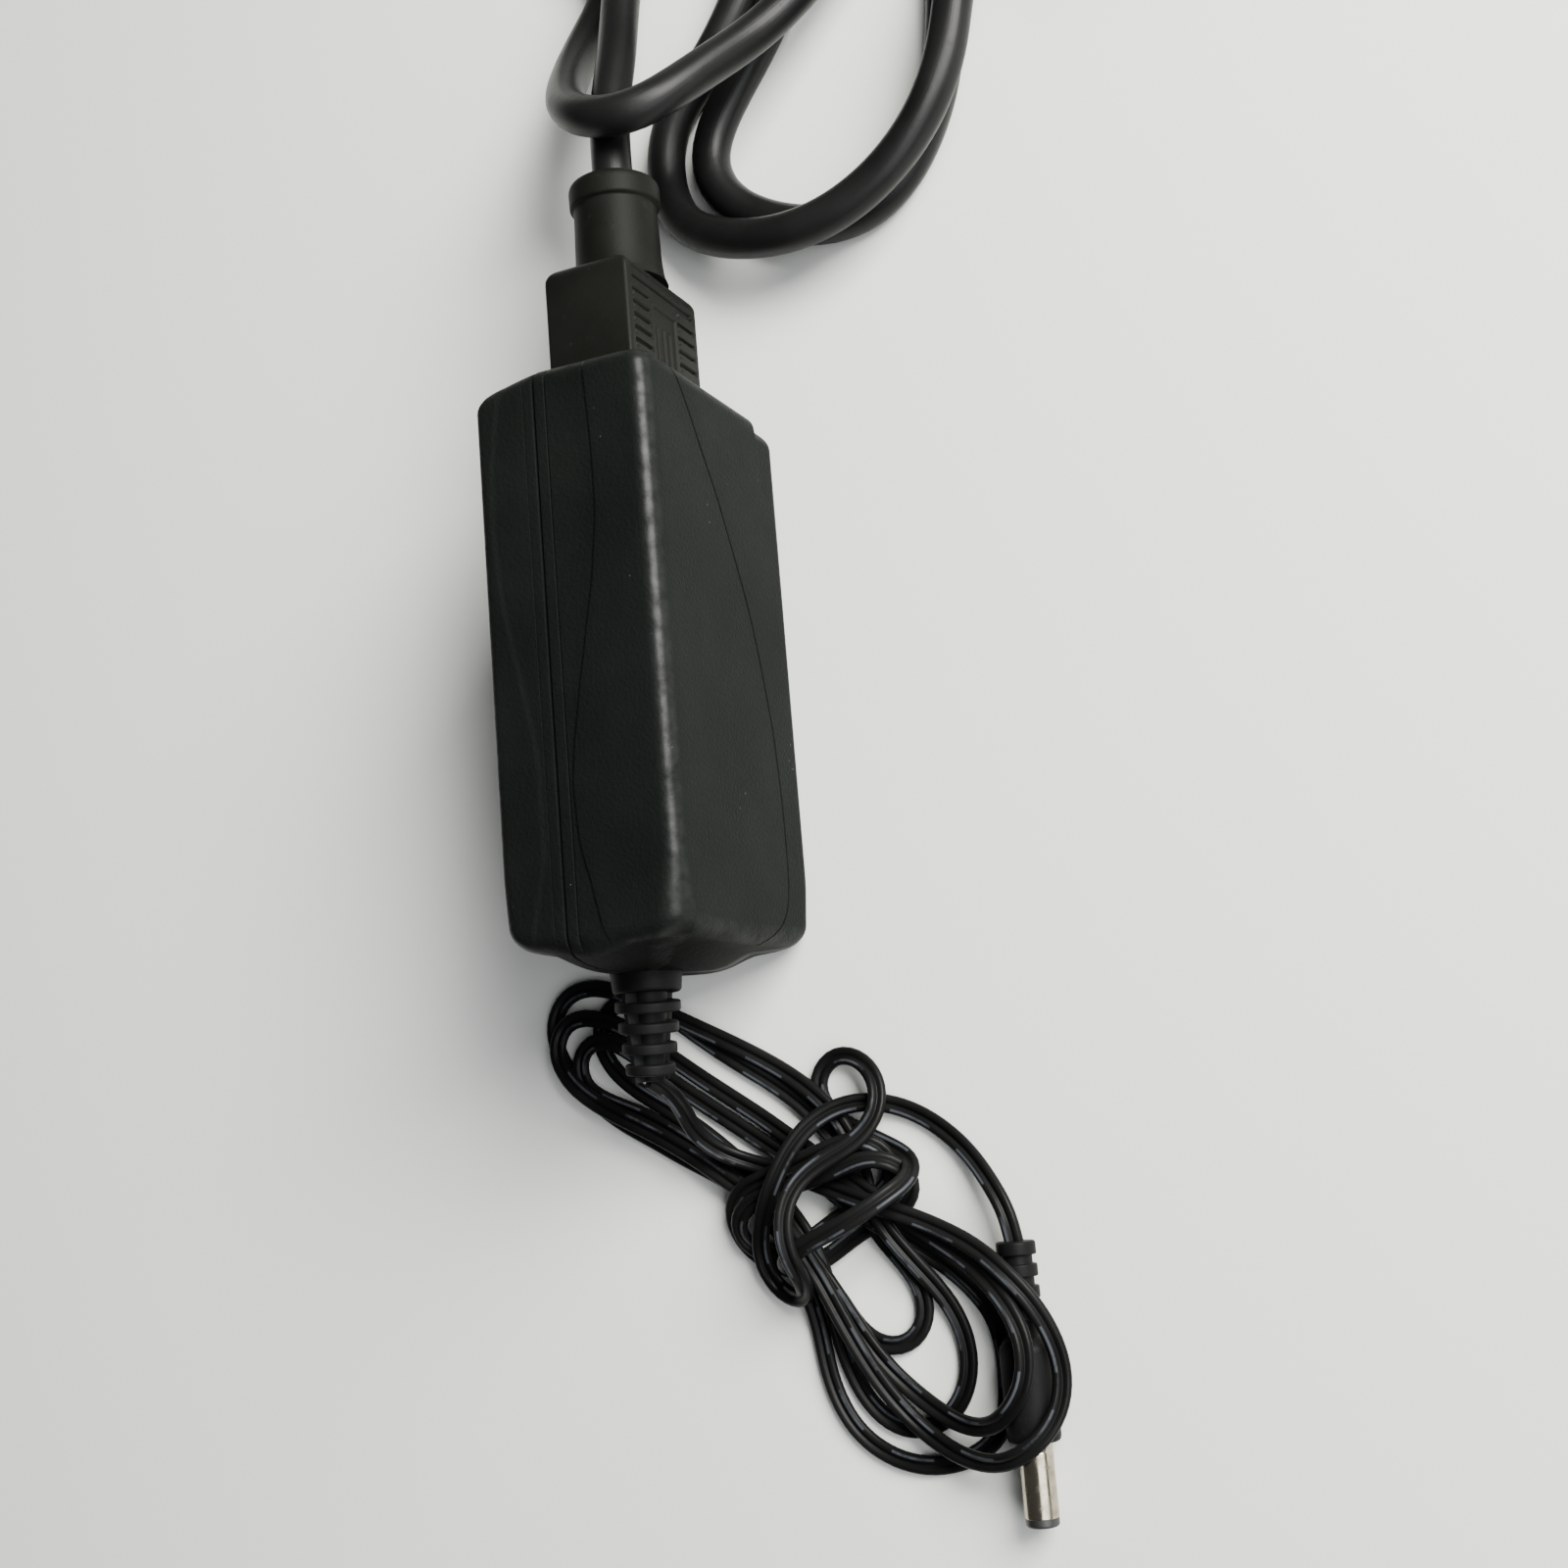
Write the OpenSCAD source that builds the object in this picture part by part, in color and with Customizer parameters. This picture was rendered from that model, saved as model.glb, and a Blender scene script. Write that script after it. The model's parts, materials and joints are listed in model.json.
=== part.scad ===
// Desktop power adapter standing on its narrow side, with its mains lead and its low-voltage lead.
// +X is across the case's thickness, +Y runs to the mains end, +Z is up. Millimetres.

/* [Case] */
// Length of the two shells, end wall to end wall
case_length = 92; // [88:1:100]
// Thickness of the case across the parting line
case_thickness = 32; // [30:1:36]
// Height of the case as it stands on its narrow side
case_height = 50; // [48:1:56]
// Wall of both shells
wall = 2; // [1.6:0.1:2.4]
// Radius of the case's outer edges
edge_radius = 3; // [2:0.5:4]
// Where the parting line lies across the thickness
parting_x = -4.7; // [-6:0.1:-3]
// How far the mains-end collar stands out
collar_step = 1.8; // [1:0.1:2]
// How far the mound round the output lead stands out
mound_step = 4.2; // [3:0.1:5]
// Height above the base at which the mains-end collar starts
collar_bottom = 8.4; // [6:0.2:10]

/* [Mains connector] */
// Width of the connector body across the case's thickness
connector_width = 16; // [15:0.5:17]
// Height of the connector body
connector_height = 26; // [25:0.5:27]
// Length of the connector body outside the case
connector_length = 22; // [20:1:26]
// Depth of the nose inside the inlet
nose_depth = 17; // [15:0.5:18]
// Diameter of the boot behind the body
boot_diameter = 15; // [13:0.5:16]
// Diameter of the rounded rim at the boot's end
boot_rim_diameter = 17.4; // [16:0.2:19]
// Length of the boot with its rim
boot_length = 19; // [16:1:22]
// How far the connector slides out of its inlet
pull_out = 20; // [18:1:30]

/* [Mains cord] */
// Diameter of the round mains cord
mains_cord_diameter = 7.2; // [6.5:0.1:7.2]

/* [Low-voltage cord] */
// Width of the flat two-core cord, and so the diameter of its plain tubes
dc_cord_width = 3.5; // [3:0.1:3.8]
// Height of the folded cord
dc_hank_height = 9; // [8:0.5:10]
// Height of the turns wrapped round the folded cord
dc_wrap_height = 18; // [16:0.5:20]

/* [Barrel plug] */
// Outside diameter of the barrel
barrel_diameter = 5.5; // [5.5:0.1:5.6]
// Diameter of the bore in the barrel's centre contact
barrel_bore = 2.1; // [2.1:0.1:2.5]
// Length of the bare barrel, with its tip
barrel_length = 12.9; // [10:0.1:14]
// Diameter of the plug's grip
grip_diameter = 8.6; // [8:0.1:10]

/* [Mains plug] */
// Length of the plug's moulded body
plug_length = 36; // [32:1:40]
// Width of the plug's moulded body
plug_width = 26; // [25:1:30]
// Height of the plug's moulded body as it lies
plug_height = 22; // [20:1:24]

/* [Hidden] */

fine = 48;       // facets of true round shapes
smooth = 24;     // facets of the rounded mouldings
fit_gap = 0.3;   // clearance between the mains connector and the adapter

case_black = [0.13, 0.135, 0.13];
cord_black = [0.06, 0.06, 0.065];
tin_silver = [0.75, 0.75, 0.73];

half_length = case_length / 2;
half_thickness = case_thickness / 2;
mid_z = case_height / 2;
mains_face_y = half_length + collar_step;   // where the connector body meets the collar
lead_face_y = -half_length - mound_step;    // top of the mound that the output lead leaves
label_seat = 0.6;        // depth of the label's recess
label_half_length = 34;
label_half_height = 17;
ring_thickness = 1.2;    // locating ring of the thin shell, inside the walls
ring_root = 2;
ring_reach = 2.5;
ring_gap = 0.1;

// inlet, on the middle of the mains end
inlet_wall = 2;
nose_width = connector_width - 0.8;
nose_height = connector_height - 2;
cavity_width = nose_width + 2 * fit_gap;
cavity_height = nose_height + 2 * fit_gap;
cavity_floor_y = mains_face_y - nose_depth - 1;
pin_spacing = 14;
pin_offset = 2;
pin_size = [4, 19, 2];
pin_start_y = cavity_floor_y - 5;
pin_places = [[-pin_offset, mid_z + pin_spacing / 2], [-pin_offset, mid_z - pin_spacing / 2], [pin_offset, mid_z]];
contact_wall = 0.4;    // sheet of the connector's contacts
contact_back = 0.6;    // how far the contacts stay behind the nose's end

// board and its parts, which stand from the board towards +X
board_thickness = 1.6;
board_x = -half_thickness + wall + 2.2;
board_face_x = board_x + board_thickness;
board_front_y = 24;
board_back_y = -41;
board_low_z = 3.4;
board_high_z = case_height - 3.4;
core_size = [20, 24, 22];    // across X, along Y, up Z
core_low = [board_face_x + 1, -17, 5];
core_leg = 4;
core_post = 8;
primary_sink_y = -8.6;
primary_sink_z = 37.5;
secondary_sink_y = -32.4;
secondary_sink_z = 15.5;
sink_thickness = 1.5;
sink_height = 18;
package_size = [10, 4.4, 14];
package_lift = 2;
screw_height = 12;           // of the transistors' screws above the board
screw_hole = 3.2;

// output strain relief, on the parting line
relief_z = 24.5;
relief_length = 17.9;
relief_collar = 3;
relief_collar_diameter = 12;
relief_neck_diameter = 8;
relief_flange_diameter = 11;
relief_flange = 2;
relief_inner_y = -half_length + wall + relief_flange;
relief_tilt = [6.5, 0, -5];
relief_plates = 4;
relief_plate_diameter = 11;
relief_pitch = 3.45;
relief_first = 1.7;

// low-voltage cord: from the relief's tip down onto the folded cord, and from there to the plug
dc_start_route = [[-6, -67.8, 22.8], [-6.2, -70.5, 22.1], [-6.2, -73.5, 19.8], [-5, -76.4, 16.6], [-2, -79, 13.8],
    [2, -81, 12.4]];
dc_tail_route = [[24, -75, 12.2], [31, -74, 11], [37, -75.5, 8.5], [42, -79, 6], [46, -85, 4.6], [48, -92, 4.3],
    [48, -98, 4.3]];
dc_fold_ends = [[-24, -61, 12.5], [13, -87, 13], [31.5, -111, 21]];
dc_wrap_middle = [14, -86.5];
dc_wrap_radius = 16;
dc_loops_middle = [31.5, -111, dc_hank_height - 1];
dc_loops_radius = 22.5;
dc_loops_height = 4.5;
plug_axis_x = 48;
grip_end_y = -98;
grip_length = 31;
grip_z = grip_diameter / 2;
grip_body = 16;
grip_neck_diameter = 5;
grip_first_ring = 2.6;
grip_ring_pitch = 3.4;
grip_ring_diameter = 6.4;
grip_rings = 4;
barrel_start_y = grip_end_y - grip_length;
tip_length = 1.4;           // black ring at the barrel's end
root_diameter = 5;          // of the sleeve inside the grip
root_length = 3;
insulator_diameter = 4.4;
contact_diameter = barrel_bore + 0.8;
bore_start = 0.6 - barrel_length;

// mains cord: routes of the loops at the case, and of the tail to the plug
mains_radius = mains_cord_diameter / 2;
floor_z = mains_radius;
boot_end_y = mains_face_y + connector_length + boot_length;
first_loop_route = [[0, boot_end_y, mid_z], [0, 95, 25], [-1, 106, 22.4], [-1, 118, 18], [-1.5, 130, 14],
    [-1, 143, 11], [3, 160, 7], [7, 178, 4.5], [7, 197, floor_z], [-1, 214, floor_z], [-16, 223, floor_z],
    [-32, 218, floor_z], [-41, 203, floor_z], [-39, 185, floor_z], [-28, 168, floor_z], [-14, 154, floor_z],
    [-8, 141, 3.8], [-11, 133, 6], [-12.5, 123, 12], [-11, 112, 20.5], [-6.5, 104, 27.5], [-1, 99.5, 31.3],
    [4, 97.5, 32], [10, 98.5, 30.5], [18.5, 107, 23], [27, 116, 15], [37, 126, 11.4], [50, 141, 11.2]];
second_loop_route = [[22, 141, floor_z], [18.3, 130.4, floor_z], [10.4, 119.5, floor_z], [2.2, 110.5, floor_z],
    [0, 101, floor_z], [2, 91, 4.5], [9.5, 84, 7.2], [21, 79, 10.5], [33, 79, 11], [44, 83.5, 11], [53, 92, 11],
    [59, 103, 11], [62, 116, 11], [66, 129, 8], [69, 141, 4.6]];
third_loop_route = [[29.7, 141, floor_z], [26.3, 128.6, floor_z], [19.4, 117.8, floor_z], [12, 107.9, floor_z],
    [8.6, 100, floor_z], [12, 92, floor_z], [20, 85.5, floor_z], [31, 81.5, floor_z], [42, 83, floor_z],
    [50, 91, floor_z], [55, 102, floor_z], [57.5, 115, floor_z], [59, 128, floor_z], [61.5, 141, floor_z]];
hank_near_y = 140;
hank_far_middle_y = 216;
hank_middle_x = 51;
hank_half_width = 33.5;
hank_height = 15;
tie_y = 186;
tie_width = 9;
tie_thickness = 0.8;
tail_route = [[84.5, 214, 11.2], [92, 213, 11], [99, 207, 11], [101, 198, 11], [101, 190, 11]];
plug_x = 101;
plug_face_y = 190;
plug_neck = 12;
blade_size = [6.3, 17, 1.5];
blade_spacing = 12.7;

// ---- small helpers ----

// block with all its edges rounded, from its low corner to its high corner
module rounded_block(low, high, radius) {
    hull() for (x = [low[0] + radius, high[0] - radius], y = [low[1] + radius, high[1] - radius],
        z = [low[2] + radius, high[2] - radius])
        translate([x, y, z]) sphere(radius / cos(180 / smooth), $fn = smooth);
}

// plain block from its low corner to its high corner
module block(low, high) {
    translate(low) cube(high - low);
}

// cylinder along +Y
module rod_y(diameter, length, sides = fine) {
    rotate([-90, 0, 0]) cylinder(d = diameter, h = length, $fn = sides);
}

// a part standing on the board at y, z; its own +Z points to +X and its own +Y stays
module on_board(y, z) {
    translate([board_face_x, y, z]) rotate([0, 90, 0]) children();
}

function unit(v) = v / norm(v);
function heading(route, i) = unit(route[min(i + 1, len(route) - 1)] - route[max(i - 1, 0)]);

// round cord carried along its route, one ring at each point
module cord_tube(route, diameter, sides) {
    last = len(route) - 1;
    points = [for (i = [0:last]) let (ahead = heading(route, i), across = unit(cross(ahead, [0, 0, 1])),
        above = cross(across, ahead)) for (k = [0:sides - 1]) let (angle = 360 * k / sides)
        route[i] + diameter / 2 * (cos(angle) * across + sin(angle) * above)];
    walls = [for (i = [0:last - 1], k = [0:sides - 1]) let (next = (k + 1) % sides)
        [i * sides + k, i * sides + next, (i + 1) * sides + next, (i + 1) * sides + k]];
    first_cap = [for (k = [0:sides - 1]) sides - 1 - k];
    last_cap = [for (k = [0:sides - 1]) last * sides + k];
    polyhedron(points = points, faces = concat([first_cap], walls, [last_cap]));
}

// ---- case ----

module case_body() {
    rounded_block([-half_thickness, -half_length, 0], [half_thickness, half_length, case_height], edge_radius);
    rounded_block([-14, -half_length - mound_step / 2, 0], [9, -half_length + 8, case_height - 4], edge_radius);
    translate([parting_x, lead_face_y, relief_z]) rod_y(relief_collar_diameter + 4, mound_step);
}

module collar() {
    rounded_block([parting_x - 8, half_length - 12, collar_bottom], [half_thickness, mains_face_y, case_height],
        edge_radius);
}

module case_inside() {
    block([-half_thickness + wall, -half_length + wall, wall],
        [half_thickness - wall, half_length - wall, case_height - wall]);
}

module inlet_hole() {
    block([-cavity_width / 2 - inlet_wall, half_length - 4, mid_z - cavity_height / 2 - inlet_wall],
        [cavity_width / 2 + inlet_wall, mains_face_y + 1, mid_z + cavity_height / 2 + inlet_wall]);
}

module relief_hole() {
    translate([parting_x, lead_face_y - 1, relief_z]) rod_y(relief_neck_diameter + 0.1, mound_step + 4);
}

module flange_room() {
    translate([parting_x, -half_length + wall, relief_z]) rod_y(relief_flange_diameter + 0.4, relief_flange + 0.6);
}

module thick_shell() {
    color(case_black) difference() {
        union() {
            case_body();
            collar();
        }
        block([-half_thickness - 1, -60, -1], [parting_x, 60, case_height + 1]);
        case_inside();
        inlet_hole();
        relief_hole();
    }
}

// ring inside the walls that locates one shell in the other, from x to x, set in by a gap
module locating_ring(from_x, to_x, gap) {
    inset = wall + ring_thickness;
    difference() {
        block([from_x, -half_length + wall + gap, wall + gap],
            [to_x, half_length - wall - gap, case_height - wall - gap]);
        block([from_x - 1, -half_length + inset, inset], [to_x + 1, half_length - inset, case_height - inset]);
    }
}

module thin_shell() {
    color(case_black) difference() {
        union() {
            difference() {
                case_body();
                block([parting_x, -60, -1], [half_thickness + 1, 60, case_height + 1]);
                case_inside();
            }
            locating_ring(parting_x - ring_root, parting_x, -ring_gap);
            locating_ring(parting_x - ring_root, parting_x + ring_reach, ring_gap);
        }
        inlet_hole();
        relief_hole();
        flange_room();
        label_recess();
    }
}

// slab of the label's outline on the thin shell's broad face, from x to x
module label_slab(from_x, to_x) {
    block([from_x, -label_half_length, mid_z - label_half_height], [to_x, label_half_length, mid_z + label_half_height]);
}

module label_recess() {
    label_slab(-half_thickness - 1, -half_thickness + label_seat);
}

module rating_label() {
    color([0.2, 0.21, 0.21]) label_slab(-half_thickness + label_seat / 2, -half_thickness + label_seat);
}

// ---- mains inlet ----

module inlet_housing() {
    outer_low = [-cavity_width / 2 - inlet_wall, cavity_floor_y - 3, mid_z - cavity_height / 2 - inlet_wall];
    outer_high = [cavity_width / 2 + inlet_wall, mains_face_y, mid_z + cavity_height / 2 + inlet_wall];
    color([0.09, 0.09, 0.09]) difference() {
        block(outer_low, outer_high);
        block([-cavity_width / 2, cavity_floor_y, mid_z - cavity_height / 2],
            [cavity_width / 2, mains_face_y + 1, mid_z + cavity_height / 2]);
        for (place = pin_places) pin_at(place);
    }
}

module pin_at(place, grow = 0) {
    block([place[0] - pin_size[0] / 2 - grow, pin_start_y - grow, place[1] - pin_size[2] / 2 - grow],
        [place[0] + pin_size[0] / 2 + grow, pin_start_y + pin_size[1] + grow, place[1] + pin_size[2] / 2 + grow]);
}

module inlet_line_pin() {
    color(tin_silver) pin_at(pin_places[0]);
}

module inlet_neutral_pin() {
    color(tin_silver) pin_at(pin_places[1]);
}

module inlet_earth_pin() {
    color(tin_silver) pin_at(pin_places[2]);
}

// ---- board and what stands on it ----

module circuit_board() {
    color([0.12, 0.35, 0.2]) block([board_x, board_back_y, board_low_z],
        [board_face_x, board_front_y, board_high_z]);
}

module insulation_sheet() {
    color([0.85, 0.85, 0.8]) block([board_x - 0.8, board_back_y, board_low_z],
        [board_x - 0.4, board_front_y, board_high_z]);
}

module core_middle() {
    translate([core_low[0] + core_size[0] / 2, core_low[1] + core_size[1] / 2, core_low[2]]) children();
}

module transformer_core() {
    color([0.2, 0.2, 0.21]) {
        difference() {
            block(core_low, core_low + core_size);
            block(core_low + [-1, core_leg, core_leg], core_low + core_size - [-1, core_leg, core_leg]);
        }
        core_middle() cylinder(d = core_post, h = core_size[2], $fn = fine);
    }
}

module transformer_winding() {
    color([0.85, 0.65, 0.2]) core_middle() translate([0, 0, core_leg + 0.1]) difference() {
        cylinder(d = core_size[1] - 2 * core_leg - 0.4, h = core_size[2] - 2 * core_leg - 0.2, $fn = fine);
        translate([0, 0, -1]) cylinder(d = core_post + 0.4, h = core_size[2], $fn = fine);
    }
}

module can(diameter, height) {
    cylinder(d = diameter, h = height, $fn = fine);
}

module bulk_capacitor() {
    color([0.1, 0.12, 0.3]) on_board(1.8, 37.5) can(14, 22);
}

module output_capacitors() {
    color([0.1, 0.25, 0.15]) for (z = [10, 21.5]) on_board(-24.3, z) can(10, 18);
}

module line_filter_choke() {
    color([0.7, 0.4, 0.15]) on_board(15.2, 11) translate([0, 0, 3.2])
        rotate_extrude($fn = fine) translate([3.9, 0]) circle(d = 5.4, $fn = fine);
}

module x_capacitor() {
    color([0.85, 0.75, 0.3]) on_board(17.2, 28) translate([-7.5, -4, 0]) cube([15, 8, 12]);
}

module y_capacitor() {
    color([0.3, 0.4, 0.75]) on_board(-18.8, 33.5) translate([0, -1.2, 4]) rod_y(7, 2.4);
}

module bridge_rectifier() {
    color([0.08, 0.08, 0.08]) on_board(11, 28) translate([-7, -1.8, 0]) cube([14, 3.6, 10]);
}

module input_fuse() {
    color([0.6, 0.5, 0.35]) on_board(18.5, 41.5) can(6, 9);
}

module inrush_thermistor() {
    color([0.1, 0.3, 0.15]) on_board(11.5, 41) translate([0, -1.8, 4.4]) rod_y(8, 3.6);
}

module heatsink(y, z, width) {
    color([0.72, 0.73, 0.74]) on_board(y, z) difference() {
        translate([-width / 2, 0, 0]) cube([width, sink_thickness, sink_height]);
        translate([0, -1, screw_height]) rod_y(screw_hole, sink_thickness + 2);
    }
}

module package(y, z) {
    color([0.07, 0.07, 0.07]) on_board(y, z) difference() {
        translate([-package_size[0] / 2, -package_size[1], package_lift]) cube(package_size);
        translate([0, -package_size[1] - 1, screw_height]) rod_y(screw_hole, package_size[1] + 2);
    }
}

module primary_heatsink() {
    heatsink(primary_sink_y, primary_sink_z, 15);
}

module switching_transistor() {
    package(primary_sink_y, primary_sink_z);
}

module secondary_heatsink() {
    heatsink(secondary_sink_y, secondary_sink_z, 20);
}

module output_rectifier() {
    package(secondary_sink_y, secondary_sink_z);
}

module heatsink_screws() {
    color(tin_silver) for (place = [[primary_sink_y, primary_sink_z], [secondary_sink_y, secondary_sink_z]])
        on_board(place[0], place[1]) translate([0, 0, screw_height]) {
            translate([0, -package_size[1] - 0.3, 0]) rod_y(3, package_size[1] + sink_thickness + 0.3);
            translate([0, sink_thickness, 0]) rod_y(5.6, 1.4);
        }
}

module optocoupler() {
    color([0.9, 0.9, 0.88]) on_board(-19, 42.5) translate([-2.3, -3.2, 0.2]) cube([4.6, 6.4, 3.6]);
}

module controller_chip() {
    color([0.06, 0.06, 0.06]) on_board(-28, 42.5) translate([-2.5, -2, 0.2]) cube([5, 4, 1.6]);
}

module output_choke() {
    color([0.25, 0.25, 0.27]) on_board(-28, 33) can(9.6, 12);
}

module board_wire(from, to) {
    cord_tube([from, [from[0], (from[1] + to[1]) / 2, from[2]], [to[0], (from[1] + to[1]) / 2, to[2]], to], 1.6, 8);
}

module inlet_wires() {
    color([0.45, 0.2, 0.1]) for (i = [0, 1])
        board_wire([pin_places[i][0] - 1, pin_start_y, pin_places[i][1]],
            [board_face_x + 1, pin_start_y - 1.8, pin_places[i][1] + (i == 0 ? 5 : -5)]);
}

module output_wires() {
    color([0.5, 0.08, 0.08]) for (side = [-1, 1])
        board_wire([parting_x, relief_inner_y + 0.1, relief_z + side * 2],
            [board_face_x + 1.2, relief_inner_y + 4.6, relief_z + side * 4.5]);
}

// ---- output strain relief ----

module output_strain_relief() {
    color(case_black) {
        translate([parting_x, -half_length + wall, relief_z]) rod_y(relief_flange_diameter, relief_flange);
        translate([parting_x, lead_face_y, relief_z]) rod_y(relief_neck_diameter, -lead_face_y - half_length + wall);
        translate([parting_x, lead_face_y - relief_collar, relief_z]) rod_y(relief_collar_diameter, relief_collar);
        translate([parting_x, lead_face_y - relief_collar + 0.3, relief_z]) rotate(relief_tilt) rotate([90, 0, 0]) {
            cylinder(d1 = 7.4, d2 = 5.2, h = relief_length - relief_collar, $fn = fine);
            for (i = [0:relief_plates - 1])
                translate([0, 0, relief_first + i * relief_pitch]) cylinder(d = relief_plate_diameter - 0.9 * i, h = 1.8, $fn = fine);
        }
    }
}

// ---- low-voltage cord and barrel plug ----

module dc_cord_start() {
    color(cord_black) cord_tube(dc_start_route, dc_cord_width, 8);
}

module dc_cord_tail() {
    color(cord_black) cord_tube(dc_tail_route, dc_cord_width, 8);
}

module dc_fold_outline() {
    for (i = [0:len(dc_fold_ends) - 2]) hull() for (j = [i, i + 1])
        translate([dc_fold_ends[j][0], dc_fold_ends[j][1]]) circle(dc_fold_ends[j][2], $fn = smooth);
}

module dc_cord_hank() {
    color(cord_black) difference() {
        union() {
            linear_extrude(dc_hank_height) dc_fold_outline();
            translate(dc_loops_middle) cylinder(r = dc_loops_radius, h = dc_loops_height, $fn = 32);
            translate([dc_wrap_middle[0], dc_wrap_middle[1], 0]) cylinder(r = dc_wrap_radius, h = dc_wrap_height, $fn = 32);
        }
        block([plug_axis_x - grip_diameter / 2 - fit_gap, -150, -1],
            [plug_axis_x + 12, -90, grip_diameter + fit_gap]);
    }
}

// rod on the plug's axis, from its start behind the barrel's root
module plug_rod(start, diameter, length) {
    translate([plug_axis_x, barrel_start_y + start, grip_z]) rod_y(diameter, length);
}

module barrel_plug_grip() {
    color(case_black) difference() {
        union() {
            plug_rod(0, grip_diameter, grip_body);
            plug_rod(grip_body, grip_neck_diameter, grip_length - grip_body);
            for (i = [0:grip_rings - 1])
                plug_rod(grip_body + grip_first_ring + i * grip_ring_pitch, grip_ring_diameter, 2);
        }
        plug_rod(-1, root_diameter, root_length + 1);
    }
}

module barrel_plug_sleeve() {
    color(tin_silver) difference() {
        union() {
            plug_rod(tip_length - barrel_length, barrel_diameter, barrel_length - tip_length);
            plug_rod(0, root_diameter, root_length);
        }
        plug_rod(-barrel_length, insulator_diameter, barrel_length + root_length + 1);
    }
}

module barrel_plug_tip() {
    color([0.05, 0.05, 0.05]) difference() {
        union() {
            plug_rod(-barrel_length, barrel_diameter - 0.2, tip_length);
            plug_rod(-barrel_length, insulator_diameter, barrel_length);
        }
        plug_rod(-barrel_length - 1, contact_diameter, barrel_length + 2);
    }
}

module barrel_plug_contact() {
    color([0.8, 0.7, 0.45]) difference() {
        plug_rod(bore_start, contact_diameter, -bore_start);
        plug_rod(bore_start - 1, barrel_bore, -bore_start);
    }
}

// ---- mains connector ----

module connector_body() {
    color([0.1, 0.1, 0.1]) block([-connector_width / 2, mains_face_y + fit_gap, mid_z - connector_height / 2],
        [connector_width / 2, mains_face_y + connector_length, mid_z + connector_height / 2]);
}

module connector_nose() {
    color([0.1, 0.1, 0.1]) difference() {
        block([-nose_width / 2, mains_face_y - nose_depth, mid_z - nose_height / 2],
            [nose_width / 2, mains_face_y + fit_gap, mid_z + nose_height / 2]);
        for (place = pin_places) pin_at(place, contact_wall + fit_gap);
    }
}

module connector_contacts() {
    color([0.8, 0.65, 0.3]) for (place = pin_places) intersection() {
        difference() {
            pin_at(place, contact_wall + fit_gap);
            pin_at(place, fit_gap);
            block([place[0] - 5, pin_start_y - 5, place[1] - 5],
                [place[0] + 5, mains_face_y - nose_depth + contact_back, place[1] + 5]);
        }
        block([-20, -20, 0], [20, 80, case_height]);
    }
}

module connector_boot() {
    rim_length = 4;
    boot_start_y = mains_face_y + connector_length;
    color([0.1, 0.1, 0.1]) {
        translate([0, boot_start_y, mid_z]) rod_y(boot_diameter, boot_length - rim_length);
        translate([0, boot_start_y + boot_length - rim_length, mid_z]) rod_y(boot_rim_diameter, rim_length);
    }
}

// ---- mains cord ----

module mains_cord_first_loop() {
    color(cord_black) cord_tube(first_loop_route, mains_cord_diameter, 10);
}

module mains_cord_second_loop() {
    color(cord_black) cord_tube(second_loop_route, mains_cord_diameter, 10);
}

module mains_cord_third_loop() {
    color(cord_black) cord_tube(third_loop_route, mains_cord_diameter, 10);
}

module mains_cord_tail() {
    color(cord_black) cord_tube(tail_route, mains_cord_diameter, 10);
}

module hank_form() {
    linear_extrude(hank_height) union() {
        translate([hank_middle_x, hank_far_middle_y]) circle(hank_half_width, $fn = fine);
        translate([hank_middle_x - hank_half_width, hank_near_y])
            square([2 * hank_half_width, hank_far_middle_y - hank_near_y]);
    }
}

module hank_tie() {
    low = [hank_middle_x - hank_half_width, tie_y, 0];
    high = [hank_middle_x + hank_half_width, tie_y + tie_width, hank_height];
    inset = [tie_thickness, -1, tie_thickness];
    color([0.12, 0.12, 0.12]) difference() {
        block(low, high);
        block(low + inset, high - inset);
    }
}

module mains_cord_hank() {
    color(cord_black) difference() {
        hank_form();
        hank_tie();
    }
}

// ---- mains plug ----

module mains_plug_body() {
    neck_diameter = 12;
    mid = plug_height / 2;
    color([0.08, 0.08, 0.085]) difference() {
        union() {
            rounded_block([plug_x - plug_width / 2, plug_face_y - plug_neck - plug_length, 0],
                [plug_x + plug_width / 2, plug_face_y - plug_neck, plug_height], 3);
            translate([plug_x, plug_face_y - plug_neck - 2, mid]) rod_y(neck_diameter, plug_neck + 2);
        }
        blades(4);
        earth_pin(4);
    }
}

module blades(root) {
    for (side = [-1, 1])
        translate([plug_x + side * blade_spacing / 2 - blade_size[2] / 2,
            plug_face_y - plug_neck - plug_length - blade_size[1], plug_height - 6 - blade_size[0]])
            cube([blade_size[2], blade_size[1] + root, blade_size[0]]);
}

module earth_pin(root) {
    translate([plug_x, plug_face_y - plug_neck - plug_length - blade_size[1] - 3, 5]) rod_y(4.8, blade_size[1] + 3 + root);
}

module mains_plug_blades() {
    color(tin_silver) blades(4);
}

module mains_plug_earth_pin() {
    color(tin_silver) earth_pin(4);
}

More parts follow.
